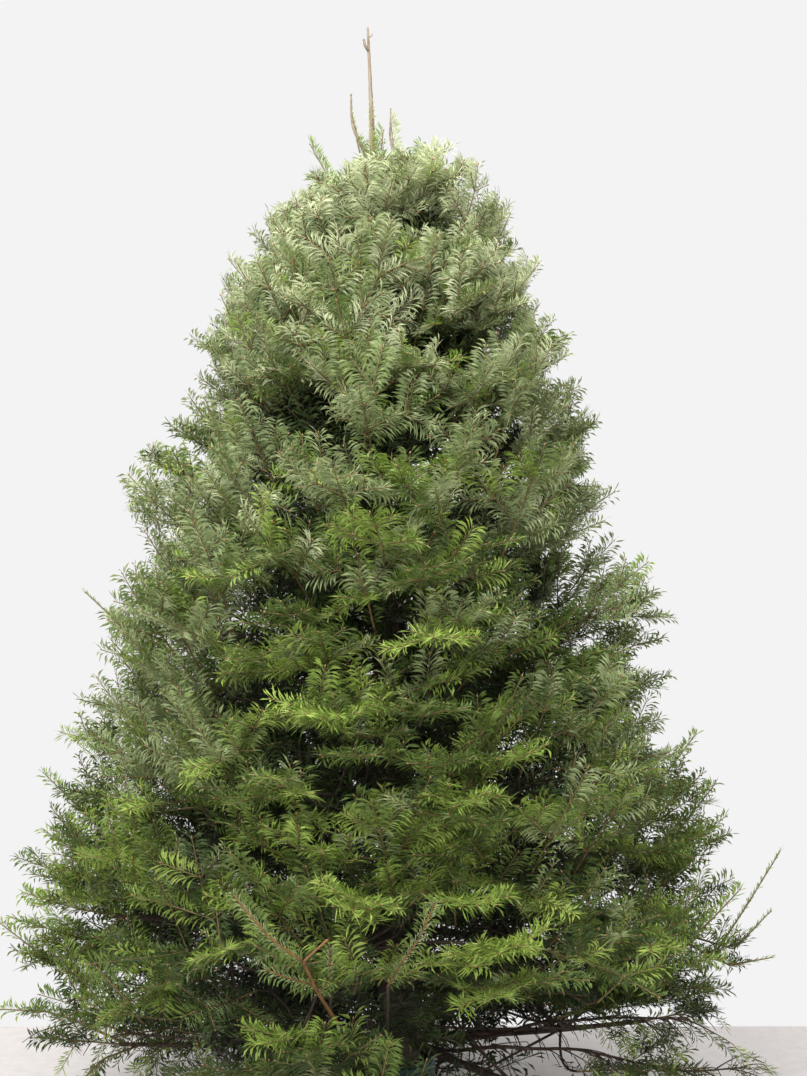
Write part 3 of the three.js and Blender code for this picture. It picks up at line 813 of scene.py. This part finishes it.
# How far the surface draws in at the edges of a mass, in the upper whorls, and to its sides
GAP = 0.11
UPPER_GAP = 0.14
SIDE_GAP = 0.09
UNEVEN = 0.14
INNER_DROP = 120
MOST_RISE = 72
FLAT_RISE = 0.1
FROND_LENGTH = 165
for mass in masses:
    deal = dealer(mass.seed)
    low = limit_at(mass.whorl, mass.reach)
    high = limit_at(mass.whorl + 1, mass.reach)
    shift = (deal() - 0.5) * 60
    upper = mass.whorl >= UPPER_WHORL
    finer = UPPER_STEP if upper else 1
    gap = UPPER_GAP if upper else GAP
    for out, across_step, up_step, kind, showing in LAYERS:
        if showing and upper:
            kind = UPPER_KIND
        rows = max(2, round((high - low) / (up_step * finer)))
        width = 2 * mass.half * mass.reach * out
        count = max(2, round(width / (across_step * finer)))
        for row, i in np.ndindex(rows, count):
            height = (row + 0.72) / rows
            spread = (i + 0.25 + 0.5 * (row % 2)) / count * 2 - 1
            turn = mass.turn + (spread + (deal() - 0.5) * 0.8 / count) * mass.half
            z = mix(low, high, height + (deal() - 0.5) * 0.6 / rows) + shift
            tuft = 1 - gap * abs(2 * height - 1) ** 2.5 - SIDE_GAP * abs(spread) ** 3
            radius = outline_at(z, turn) * out * tuft * (1 - UNEVEN * deal() ** 2) + 4
            z -= (1 - out) * INNER_DROP
            rise = mass.rise * mix(0.5, 1.1, height) + (deal() - 0.5) * 30
            lowered = deal() < 0.12 + 0.33 * abs(sin(turn))
            low_rise = mass.rise * 0.5 * deal() - 6
            rise = radians(min(low_rise if lowered else rise, MOST_RISE))
            z = min(z, CROWN_LIMIT - 45 * deal())
            roll = (deal() - 0.5) * 1.1
            lean = (deal() - 0.5) * 0.6
            length = (FROND_LENGTH + 0.12 * mass.reach) * (0.85 + 0.3 * deal()) * finer**0.5
            if z - length * sin(rise) < LOWEST:
                rise = asin(clip((z - LOWEST) / length))
            tip = crown_point(radius, turn, z)
            if left_out(mass, tip, z, showing, deal):
                continue
            if mass.whorl < 2 and z < bare_below(tip) + 100:
                rise = min(rise, FLAT_RISE)
            # Fronds that don't show go without a height, so they take the darkest shades: partly
            # painted shade.
            shown_z = z if showing else None
            before = len(shoots)
            frond_on_twig(mass, tip, turn + lean, rise, length, roll, kind, shown_z, deal)
            # A frond in a hollow goes once it is grown, so the numbers dealt to the rest stay.
            if in_hollow(tip):
                del shoots[before:]
            # Sprays towards the two sides take paler shades: painted light where light comes
            # through them.
            aside = abs(cos(turn)) - PALE_SIDES
            if showing and aside > -PALE_MARGIN and z > PALE_FROM:
                for shoot in shoots[before::1 if aside > 0 else 2]:
                    shoot.shade = PALER.get(shoot.shade, shoot.shade)

    start = along_line(mass.line, STEM_END)
    end = along_line(mass.line, 1)
    ahead = (end - start).normalized()
    face = ahead.cross(UP.cross(ahead)).normalized()
    grow_frond(start, ahead, face, (end - start).length, 0, ("full", 3, 0.5), end.z, deal)

# Long shoots: single needle-clad shoots that stand out of the crown, with a small side shoot to
# each side at their foot. Each starts on the stem of the mass that it belongs to.
# For each: whorl, mass and degrees, radius and height of its root and of its tip, and needles
LONG_SHOOTS = [
    (1, 1, -4, (600, 365), (748, 582), "slim"),
    (1, 1, -6, (640, 392), (722, 472), "slim"),
    (1, 1, -9, (630, 370), (722, 396), "slim"),
    (3, 3, 177, (500, 985), (598, 1072), "slim"),
    (2, 1, 1, (470, 640), (604, 795), "full"),
    (2, 5, -9, (500, 570), (622, 712), "full"),
    (1, 1, 6, (520, 480), (640, 608), "full"),
    (1, 1, -16, (560, 430), (664, 536), "full"),
    (2, 4, 172, (620, 620), (716, 706), "full"),
    (1, 4, 184, (660, 362), (766, 442), "full"),
    (0, 4, 190, (665, 288), (762, 305), "full"),
    (0, 4, 193, (560, 205), (640, 150), "full"),
    (7, 2, 158, (60, 1815), (144, 1950), "raised"),
    (7, 1, -25, (12, 1868), (36, 1962), "raised"),
    (7, 1, 70, (10, 1866), (24, 1938), "raised"),
    (7, 2, 172, (14, 1862), (42, 1945), "raised"),
]


def find_mass(whorl, number):
    """The mass with a number in a whorl, or the whorl's last."""
    own = [m for m in masses if m.whorl == whorl]
    return own[min(number, len(own)) - 1]


for whorl, number, turn, (root_r, root_z), (tip_r, tip_z), needles in LONG_SHOOTS:
    mass = find_mass(whorl, number)
    deal = dealer(500 + number)
    turn = radians(turn)
    share = clip((root_r - 60) / mass.reach, mass.bare + 0.04, 0.74)
    foot = along_line(mass.line, share)
    root = crown_point(root_r, turn, root_z)
    tip = crown_point(tip_r - 12, turn, tip_z - 8)
    ahead = (tip - root).normalized()
    inward = (trunk_at(tip.z) - tip).normalized()
    face = (inward + UP * 0.6 - ahead * (inward + UP * 0.6).dot(ahead)).normalized()
    add_shoot(foot, root - ahead * 30, root, face, (3.0, 2.4), "worn", "green")
    length = (tip - root).length
    bow = root.lerp(tip, 0.5) - UP * length * 0.03
    add_shoot(root, bow, tip, face, (2.4, 1.2), needles, "sage" if needles == "slim" else "fresh")
    for side in (-1, 1):
        away = (ahead * 0.75 + ahead.cross(face) * side * 0.6).normalized()
        grow_frond(root, away, face, length * 1.2, 2, ("full", 3, 0), tip.z, deal)

# Placed sprays: bright ones in front that point at the viewer and hang over a little at their
# ends, and wider ones at the sides. Each holds its tip, rise and length, and its shade.
# Their shades partly paint light and shade: bright for fronds lit from above, deep for shaded
# ones.
PLACED = [
    (155, -640, 520, 4, 150, "bright"), (112, -650, 500, 4, 150, "fresh"),
    (196, -628, 522, 4, 150, "bright"), (170, -640, 456, 4, 150, "fresh"),
    (248, -600, 462, 4, 150, "green"), (-78, -640, 594, 4, 140, "bright"),
    (-58, -645, 606, 4, 120, "fresh"), (110, -606, 720, 4, 150, "green"),
    (122, -600, 752, 4, 150, "fresh"), (-205, -620, 380, 4, 140, "fresh"),
    (-140, -640, 372, 4, 110, "green"), (-150, -590, 890, 4, 150, "bright"),
    (-98, -600, 885, 4, 150, "fresh"), (-66, -400, 1420, 40, 150, "sage"),
    (60, -560, 1010, 4, 150, "bright"), (48, -545, 1135, 20, 170, "green"),
    (-32, -540, 1212, 30, 170, "fresh"), (-112, -520, 1290, 30, 170, "sage"),
    (123, -645, 614, 10, 160, "fresh"), (50, -600, 832, 20, 160, "green"),
    (-38, -225, 1745, 50, 150, "sage"), (605, -60, 680, 24, 190, "green"),
    (640, -30, 600, 18, 200, "fresh"), (650, 60, 560, 15, 190, "green"),
    (-690, -40, 585, 20, 200, "fresh"), (-692, 40, 500, 12, 200, "green"),
    (-745, -20, 415, 8, 210, "fresh"), (-640, -80, 560, 16, 190, "sage"),
    (520, -60, 302, 6, 180, "green"), (450, -120, 314, 4, 180, "green"),
    (330, -250, 348, 4, 170, "deep"), (200, -420, 402, 4, 170, "deep"),
    (140, -300, 362, 4, 170, "deep"), (-650, -60, 380, 10, 200, "green"),
    (100, -250, 342, 4, 170, "deep"), (221, -380, 468, 4, 170, "deep"),
    (-735, 0, 545, 18, 200, "green"), (500, -40, 985, 24, 190, "green"),
    (505, -20, 905, 24, 190, "green"), (420, -160, 960, 22, 190, "fresh"),
    (400, -180, 900, 20, 190, "deep"), (450, 60, 940, 20, 190, "deep"),
    (635, -30, 318, 6, 190, "green"), (390, -30, 1375, 30, 180, "green"),
    (355, -80, 1318, 28, 180, "sage"), (-285, -20, 1740, 45, 150, "sage"),
    (-225, -60, 1780, 48, 150, "sage"), (-385, -20, 1465, 34, 170, "sage"),
    (135, -400, 1370, 34, 150, "sage"), (360, -200, 1040, 22, 180, "green"),
    (370, -200, 955, 22, 180, "green"), (345, -150, 1310, 30, 170, "green"),
    (400, 0, 990, 20, 190, "soft"), (380, 80, 1000, 20, 190, "deep"),
    (300, -60, 1150, 24, 180, "soft"), (320, 40, 1130, 20, 180, "deep"),
    (290, -200, 960, 20, 180, "green"), (300, -100, 950, 20, 180, "deep"),
    (-197, -490, 1065, 26, 170, "green"), (-71, -600, 835, 14, 160, "green"),
    (47, -600, 915, 20, 160, "green"), (-440, -20, 1385, 30, 190, "green"),
    (-425, 50, 1400, 30, 180, "sage"), (-395, -20, 1560, 34, 170, "sage"),
    (-745, -20, 378, 8, 200, "green"), (-662, 20, 392, 14, 200, "fresh"),
    (205, -330, 1104, 24, 170, "green"), (222, -90, 1098, 20, 170, "deep"),
    (235, 150, 1089, 20, 170, "deep"), (211, -520, 815, 14, 170, "fresh"),
    (-510, -120, 850, 24, 190, "sage"), (440, -120, 850, 24, 190, "sage"),
    (447, -60, 290, 4, 170, "green"), (380, -160, 318, 4, 170, "deep"),
    (535, 20, 287, 4, 180, "deep"), (480, -20, 300, 4, 180, "deep"),
    (194, -420, 1058, 24, 180, "green"), (120, -480, 1040, 24, 170, "sage"),
    (458, -110, 322, 18, 120, "deep"), (402, -150, 312, 18, 120, "deep"),
    (420, -60, 296, 12, 120, "deep"), (506, -80, 322, 16, 130, "deep"),
    (330, -260, 540, 20, 170, "deep"), (425, -180, 428, 12, 170, "deep"),
    (350, -120, 562, 20, 170, "deep"), (440, -80, 470, 16, 170, "green"),
]
PLACED_KIND = ("full", 3, 0)
for number, (x, y, z, rise, length, shade) in enumerate(PLACED):
    deal = dealer(900 + number)
    tip = Vector((x, y, z))
    mass = min(masses, key=lambda m: (along_line(m.line, 0.85) - tip).length)
    turn = atan2(y, x)
    roll = (deal() - 0.5) * 0.5
    frond_on_twig(mass, tip, turn, radians(rise), length, roll, PLACED_KIND, shade, deal)

# Leader needles: short pale needles, in three ranks close to the wood, clothe the leader's foot.
# Above them it is bare.
CLOTHED = 142
low = trunk_at(LEADER_FOOT)
high = trunk_at(LEADER_FOOT + CLOTHED)
for way in (Vector((0, -1, 0)), Vector((1, 0, 0)), Vector((-0.7, 0.7, 0))):
    add_shoot(low, low.lerp(high, 0.5), high, way, (1, 1), "slim", "pale")

# Bare shoots: two one-year shoots of tan wood beside the leader, almost bare, with a bud at the
# tip. Each starts on the stem of the topmost mass that it belongs to.
# For each: whorl, mass and degrees, radius at its foot and tip, and radius and height of its bends
BARE_SHOOTS = [
    (7, 2, 178, 4.6, 1.7, [(9, 1905), (26, 1939), (37, 1965), (39, 1994), (38, 2030)]),
    (7, 1, -20, 3.0, 1.2, [(49, 1896), (39, 1925), (36, 1949), (39, 1975), (40, 1998)]),
]


def smooth_line(points, pieces, rounds):
    """A fine line through rough points, with its corners rounded off."""
    steps = np.linspace(0, 1, pieces, endpoint=False)
    rough = [a.lerp(b, s) for a, b in zip(points, points[1:]) for s in steps]
    smooth = np.array(rough + [points[-1]])
    for _ in range(rounds):
        smooth[1:-1] = (smooth[:-2] + smooth[1:-1] * 2 + smooth[2:]) / 4
    return smooth


bare_parts = []
for whorl, number, turn, thick, thin, line in BARE_SHOOTS:
    mass = find_mass(whorl, number)
    points = [along_line(mass.line, 0.12)]
    points += [crown_point(r, radians(turn), z) for r, z in line]
    smooth = smooth_line(points, 8, 6)
    radii = np.linspace(thick, thin, len(smooth))
    knobs = 0.3 * np.sin(np.arange(len(smooth)) * 1.9)[:, None] + np.zeros((1, 8))
    bare_parts.append(barked_limb(smooth, radii, 8, knobs))
    end = Vector(smooth[-1])
    bare_parts.append(bud(end, end - Vector(smooth[-3]), thin * 1.3))
    needled = [Vector(smooth[int(share * len(smooth))]) for share in (0.2, 0.5, 0.8)]
    kind = "slim" if turn > 0 else "raised"
    add_shoot(*needled, Vector((0.3, 0, 1)), (1.2, 1.0), kind, "pale", 0.1)
bare = place_mesh("bare_shoots", *joined(bare_parts), leader_finish)
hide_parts("foliage_top_left", "foliage_top_right")
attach(bare, "root")

# Front spray: two bare orange-brown branches low in front that fork at a knob and end in
# needle-clad arms. They leave the trunk among the lowest boughs.
FRONT_NEEDLED = [2, 4, 5, 7]
FRONT_OLD = [0, 6]
LIMB_SIDES = 8


def worn_limb(points, pieces, rounds, ends, step, waves, seed):
    """The smoothed line of a limb, and the limb along it with its bark's relief."""
    smooth = smooth_line([Vector(point) for point in points], pieces, rounds)
    along = np.arange(len(smooth))[:, None] * step
    relief = ripples(round_turns(LIMB_SIDES)[None, :], along, waves, seed)
    return smooth, barked_limb(smooth, np.linspace(*ends, len(smooth)), LIMB_SIDES, relief)


front_parts = []
low_parts = []
for limb, (thick, thin, points) in enumerate(FRONT_LIMBS):
    waves = [(2, 3, 0.3, 0.5)]
    smooth, wood = worn_limb(points, 10, 12, (thick, thin), 8.0, waves, 60 + limb)
    if limb in FRONT_OLD:
        low_parts.append(wood)
        continue
    front_parts.append(wood)
    end = Vector(smooth[-1])
    front_parts.append(bud(end, end - Vector(smooth[-4]), thin * 1.25))
    if limb in FRONT_NEEDLED:
        for k in range(0, len(smooth) - 10, 10):
            start, middle, tip = (Vector(smooth[k + step]) for step in (0, 5, 10))
            face = (UP * 0.6 + Vector((0, -1, 0))).normalized()
            add_shoot(start, middle, tip, face, (1.0, 0.8), "front", "green", 0.3)
            add_shoot(start, middle, tip, Vector((0, -1, 0)), (0.8, 0.8), "slim", "sage", 0.1)
stops = [(0.3, 0.095, 0.043, 0.014), (0.7, 0.29, 0.135, 0.036)]
relief = (0.0005, 500, 3)
front_finish = grained_finish("young_branch_bark", 0.6, (70, 4, (1, 1, 0.5)), stops, relief)
front = place_mesh("front_branch", *joined(front_parts), front_finish)
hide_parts("foliage_1_5", "foliage_1_6", "foliage_2_5", "foliage_2_6")
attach(front, "root")

# Low limbs: old dark limbs low at the sides that have lost their inner needles. Fine bare twigs
# leave them to both sides and hang, and small green sprays hang from their outer ends.
LOW_LIMBS = [
    [(30, -10, 200), (180, -60, 222), (249, -100, 262), (333, -120, 274), (404, -140, 286),
     (473, -150, 287), (534, -150, 285)],
    [(-25, -20, 200), (-150, -90, 225), (-300, -130, 240), (-420, -130, 244), (-510, -110, 248),
     (-600, -60, 262)],
    [(25, -25, 205), (90, -90, 205), (184, -150, 236), (254, -150, 230), (319, -150, 232),
     (394, -150, 216), (464, -150, 199), (534, -150, 188), (639, -150, 197)],
]
GREEN_FROM = 320
LOW_ENDS = (4.2, 1.4)
FIRST_TWIG = 13
for limb, points in enumerate(LOW_LIMBS):
    smooth, wood = worn_limb(points, 9, 10, LOW_ENDS, 9.0, [(2, 4, 0.2, 0.7)], 80 + limb)
    low_parts.append(wood)
    deal = dealer(700 + limb)
    for k in range(FIRST_TWIG, len(smooth) - 1, 2):
        foot = Vector(smooth[k])
        if abs(foot.x) < GREEN_FROM and deal() < 0.5:
            continue
        ahead = (Vector(smooth[k + 1]) - Vector(smooth[k - 1])).normalized()
        across = ahead.cross(UP).normalized() * (1 if k % 4 == 1 else -1)
        way = ahead * (0.5 + 0.5 * deal()) + across * (0.4 + 0.7 * deal()) - UP * 0.4 * deal()
        end = foot + way.normalized() * (40 + 70 * deal())
        add_shoot(foot, foot.lerp(end, 0.5) + UP * 6, end, UP, (1.5, 0.8), "bare", "shaded")
        for share in (0.4, 0.7, 1):
            start = foot.lerp(end, share)
            hang = way * 0.6 - UP * (0.3 + 0.6 * deal()) + across * (deal() - 0.5)
            tip = start + hang.normalized() * (22 + 26 * deal())
            green = abs(start.x) > GREEN_FROM and deal() < 0.7
            kind = "front" if green else "bare"
            shade = ("deep", "green", "fresh")[int(3 * deal())] if green else "shaded"
            bow = start.lerp(tip, 0.5) + way * 3
            add_shoot(start, bow, tip, UP + way, (1.0, 0.6), kind, shade, 0.4)
low = place_mesh("low_limbs", *joined(low_parts), bough_finish)
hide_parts("foliage_1_1", "foliage_1_4", "foliage_1_5", "foliage_1_6", "foliage_2_5")
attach(low, "root")

# Twig wood: the thin round wood of every twig and shoot, older and greyer towards the stems
# and orange-brown where it grew last year, joined into two meshes of limbs with few sides.


def bent(lines, share):
    """Points of the bent lines at their shares, and the directions there."""
    start, middle, end = lines
    share = np.asarray(share)[..., None]
    points = (1 - share) ** 2 * start + 2 * share * (1 - share) * middle + share**2 * end
    ahead = (1 - share) * (middle - start) + share * (end - middle)
    return points, ahead / np.maximum(np.linalg.norm(ahead, axis=-1, keepdims=True), 1e-6)


def unit(vectors):
    return vectors / np.maximum(np.linalg.norm(vectors, axis=-1, keepdims=True), 1e-6)


def lines_of(chosen):
    """The starts, middles and ends of the chosen shoots."""
    return np.array([shoot.line for shoot in chosen]).transpose(1, 0, 2)


def upper_sides_of(chosen):
    """The directions in which the upper sides of the chosen shoots face."""
    return np.array([shoot.face for shoot in chosen])


def bearing(*kinds):
    """The shoots that bear needles of these kinds."""
    return [shoot for shoot in shoots if shoot.needles in kinds]


def wood_of(chosen, sides, rings):
    """Limbs of a few sides along the chosen shoots."""
    radii = np.array([shoot.radii for shoot in chosen])
    share = np.tile(np.linspace(0, 1, rings), (len(chosen), 1))
    points, ahead = bent(lines_of(chosen)[:, :, None], share)
    side = unit(np.cross(upper_sides_of(chosen)[:, None], ahead))
    other = np.cross(ahead, side)
    radius = mix(radii[:, :1], radii[:, 1:], share)
    turns = round_turns(sides)[:, None]
    ring = side[:, :, None] * np.cos(turns) + other[:, :, None] * np.sin(turns)
    corners = points[:, :, None] + ring * radius[..., None, None]
    return corners.reshape(-1, 3), tube_faces(corners.shape[:3])


# The twigs under this height stand out against the floor, so they have more sides and bends.
LOW_TWIGS = 300
LONG_TWIG = 95
young = bearing("full", "raised", "worn", "slim", "front")
old = bearing("sparse", "bare")
inner = bearing("middle", "inner")
long_ones = [s for s in young if (s.line[2] - s.line[0]).length > LONG_TWIG]
short_ones = [s for s in young if (s.line[2] - s.line[0]).length <= LONG_TWIG]
low_old = [s for s in old if s.line[1].z < LOW_TWIGS]
high_old = [s for s in old if s.line[1].z >= LOW_TWIGS]
old_wood = joined([wood_of(low_old, 5, 10), wood_of(high_old, 4, 5), wood_of(inner, 3, 2)])
old_twigs = place_mesh("twig_wood_old", *old_wood, bough_finish)
young_wood = joined([wood_of(long_ones, 3, 3), wood_of(short_ones, 3, 2)])
stops = [(0.3, 0.125, 0.085, 0.03), (0.7, 0.27, 0.185, 0.075)]
young_finish = grained_finish("young_bark", 0.75, (140, 3), stops, (0.0003, 900, 2))
young_twigs = place_mesh("twig_wood_young", *young_wood, young_finish)
for wood in (old_twigs, young_twigs):
    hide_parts(*foliage_nodes)
    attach(wood, "root")

# Buds: a small blunt resin-coated bud closes every shoot that shows, joined into one mesh.
BUD_LENGTH = 7
BUD_R = 2.1
tips = bearing("full", "raised")
starts, middles, ends = lines_of(tips)
ahead = unit(ends - middles)
side = unit(np.cross(ahead, upper_sides_of(tips)))
other = np.cross(ahead, side)
girdle = ends + ahead * BUD_LENGTH * 0.2
ring = [girdle + (side * cos(a) + other * sin(a)) * BUD_R for a in (0, 2.1, 4.2)]
points = np.stack([*ring, ends + ahead * BUD_LENGTH], axis=1)
bud_faces = [(0, 2, 1), (3, 0, 1), (3, 1, 2), (3, 2, 0)]
faces = np.array(bud_faces)[None] + np.arange(len(tips))[:, None, None] * 4
stops = [(0.3, 0.27, 0.145, 0.055), (0.7, 0.44, 0.26, 0.12)]
bud_finish = grained_finish("bud_resin", 0.45, (300, 2), stops)
buds = place_mesh("shoot_buds", points.reshape(-1, 3), faces.reshape(-1, 3), bud_finish)
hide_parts(*foliage_nodes)
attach(buds, "root")

# Needles: soft flat needles of fir, longest half way along a shoot. They leave it in two ranks
# that spread to the sides and curve forward, with shorter ones raised over its upper side.
# Each is a slim blade of a few faces, and each shoot has its own shade of green.
RAISED = 24
# For each kind: needle length, spacing in a rank, width, share of the shoot left bare, and the
# degrees from the shoot at which a needle starts and ends
NEEDLES = {
    "full": (35, 2.4, 2.5, 0.04, 48, 78),
    "worn": (33, 4.2, 3.0, 0.08, 50, 80),
    "middle": (37, 5.8, 3.7, 0.05, 50, 80),
    "inner": (40, 8.0, 5.8, 0.05, 50, 80),
    "sparse": (27, 9.0, 2.6, 0.5, 50, 80),
    "slim": (17, 3.2, 2.2, 0.04, 30, 44),
    "front": (26, 2.8, 2.3, 0.02, 52, 84),
    "raised": (33, 1.95, 1.8, 0.04, 46, 70),
}
# For each of the five levels of needles: its tilt out of the ranks' plane, and its length
LEVEL_TILTS = [6, 34, -8, 64, 18]
LEVEL_LENGTHS = [1, 0.9, 1, 0.66, 0.95]
# Needles are shorter along the first share of a shoot, and close up from the last one on.
SHORT_UNTIL = 0.35
CLOSING_FROM = 0.86
# Base colours of the shades, which are dealt out by spray. Shaded and deep are partly painted
# shade inside and low in the crown, and pale is partly painted light on its upper part.
SHADES = {
    "shaded": (0.019, 0.031, 0.012),
    "deep": (0.048, 0.078, 0.019),
    "green": (0.107, 0.158, 0.032),
    "soft": (0.212, 0.275, 0.090),
    "sage": (0.268, 0.325, 0.142),
    "fresh": (0.208, 0.297, 0.051),
    "bright": (0.315, 0.425, 0.084),
    "pale": (0.475, 0.525, 0.290),
}


def needles_of(chosen, kind, seed):
    """Points and faces of all the needles on the chosen shoots, which bear one kind."""
    longest, spacing, width, first, start_angle, end_angle = NEEDLES[kind]
    deal = np.random.default_rng(seed)
    lines = lines_of(chosen)
    lengths = np.linalg.norm(lines[2] - lines[0], axis=1)
    counts = np.maximum(3, ((1 - first) * lengths / spacing).astype(int)) * 2
    owner = np.repeat(np.arange(len(chosen)), counts)
    order = np.arange(len(owner)) - np.repeat(np.cumsum(counts) - counts, counts)
    rank = np.where(order % 2, 1.0, -1.0)
    share = (order // 2 + deal.uniform(0.1, 0.9, len(owner))) / (counts[owner] / 2)
    share = first + (1 - first) * share
    base, ahead = bent(lines[:, owner], share)
    side = unit(np.cross(upper_sides_of(chosen)[owner], ahead))
    up = np.cross(ahead, side)
    level = order // 2 % len(LEVEL_TILTS)
    tilt = np.choose(level, LEVEL_TILTS) + deal.normal(0, 11, len(owner))
    tilt = np.radians(tilt + (RAISED if kind == "raised" else 0))
    end_share = np.clip((share - CLOSING_FROM) / (1 - CLOSING_FROM), 0, 1)
    forward = mix(1, 0.68, end_share)
    first_angle = np.radians(start_angle * forward + deal.normal(0, 7, len(owner)))
    last_angle = np.radians(end_angle * forward + deal.normal(0, 13, len(owner)))
    outward = side * (rank * np.cos(tilt))[:, None] + up * np.sin(tilt)[:, None]

    def heading(angle):
        return ahead * np.cos(angle)[:, None] + outward * np.sin(angle)[:, None]

    length = longest * mix(0.75, 1, np.clip(share / SHORT_UNTIL, 0, 1)) * mix(1, 0.85, end_share)
    length = length * np.choose(level, LEVEL_LENGTHS) * deal.uniform(0.86, 1.06, len(owner))
    first_way = heading(first_angle)
    droop = np.array([shoot.droop for shoot in chosen])[owner, None]
    last_way = heading(last_angle) - np.array((0, 0, 1.0)) * droop
    middle_way = unit(first_way * 0.5 + last_way * 0.5)
    last_way = unit(last_way)
    flat = unit(ahead - first_way * np.sum(ahead * first_way, axis=1, keepdims=True))
    flat = unit(flat + up * deal.normal(0, 0.35, len(owner))[:, None])
    half = flat * (0.5 * width * deal.uniform(0.85, 1.15, len(owner)))[:, None]
    lower = base + first_way * (0.34 * length)[:, None]
    upper = lower + middle_way * (0.33 * length)[:, None]
    end = upper + last_way * (0.33 * length)[:, None]
    points = np.stack([base, lower - half, upper + half, end], axis=1)
    faces = [[0, 1, 2], [1, 3, 2]]
    first_points = np.arange(len(owner))[:, None, None] * points.shape[1]
    return points, np.array(faces)[None] + first_points


MOST_TRIANGLES = 190000
for number, (shade, (red, green, blue)) in enumerate(SHADES.items()):
    stops = [(0.25, red * 0.75, green * 0.78, blue * 0.8)]
    stops += [(0.75, red * 1.22, green * 1.2, blue * 1.2)]
    needle_finish = grained_finish("needles_" + shade, 0.5, (55, 3), stops, specular=0.35)
    for kind in NEEDLES:
        chosen = [shoot for shoot in bearing(kind) if shoot.shade == shade]
        if not chosen:
            continue
        points, faces = needles_of(chosen, kind, 40 + number)
        parts = ceil(faces.shape[0] * faces.shape[1] / MOST_TRIANGLES)
        each = ceil(len(points) / parts)
        for part in range(parts):
            own = slice(part * each, (part + 1) * each)
            own_points = points[own].reshape(-1, 3)
            own_faces = faces[own].reshape(-1, 3) - part * each * points.shape[1]
            name = "needles_%s_%s_%d" % (shade, kind, part + 1)
            needles = place_mesh(name, own_points, own_faces, needle_finish, smooth=False)
            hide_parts(*foliage_nodes)
            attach(needles, "root")
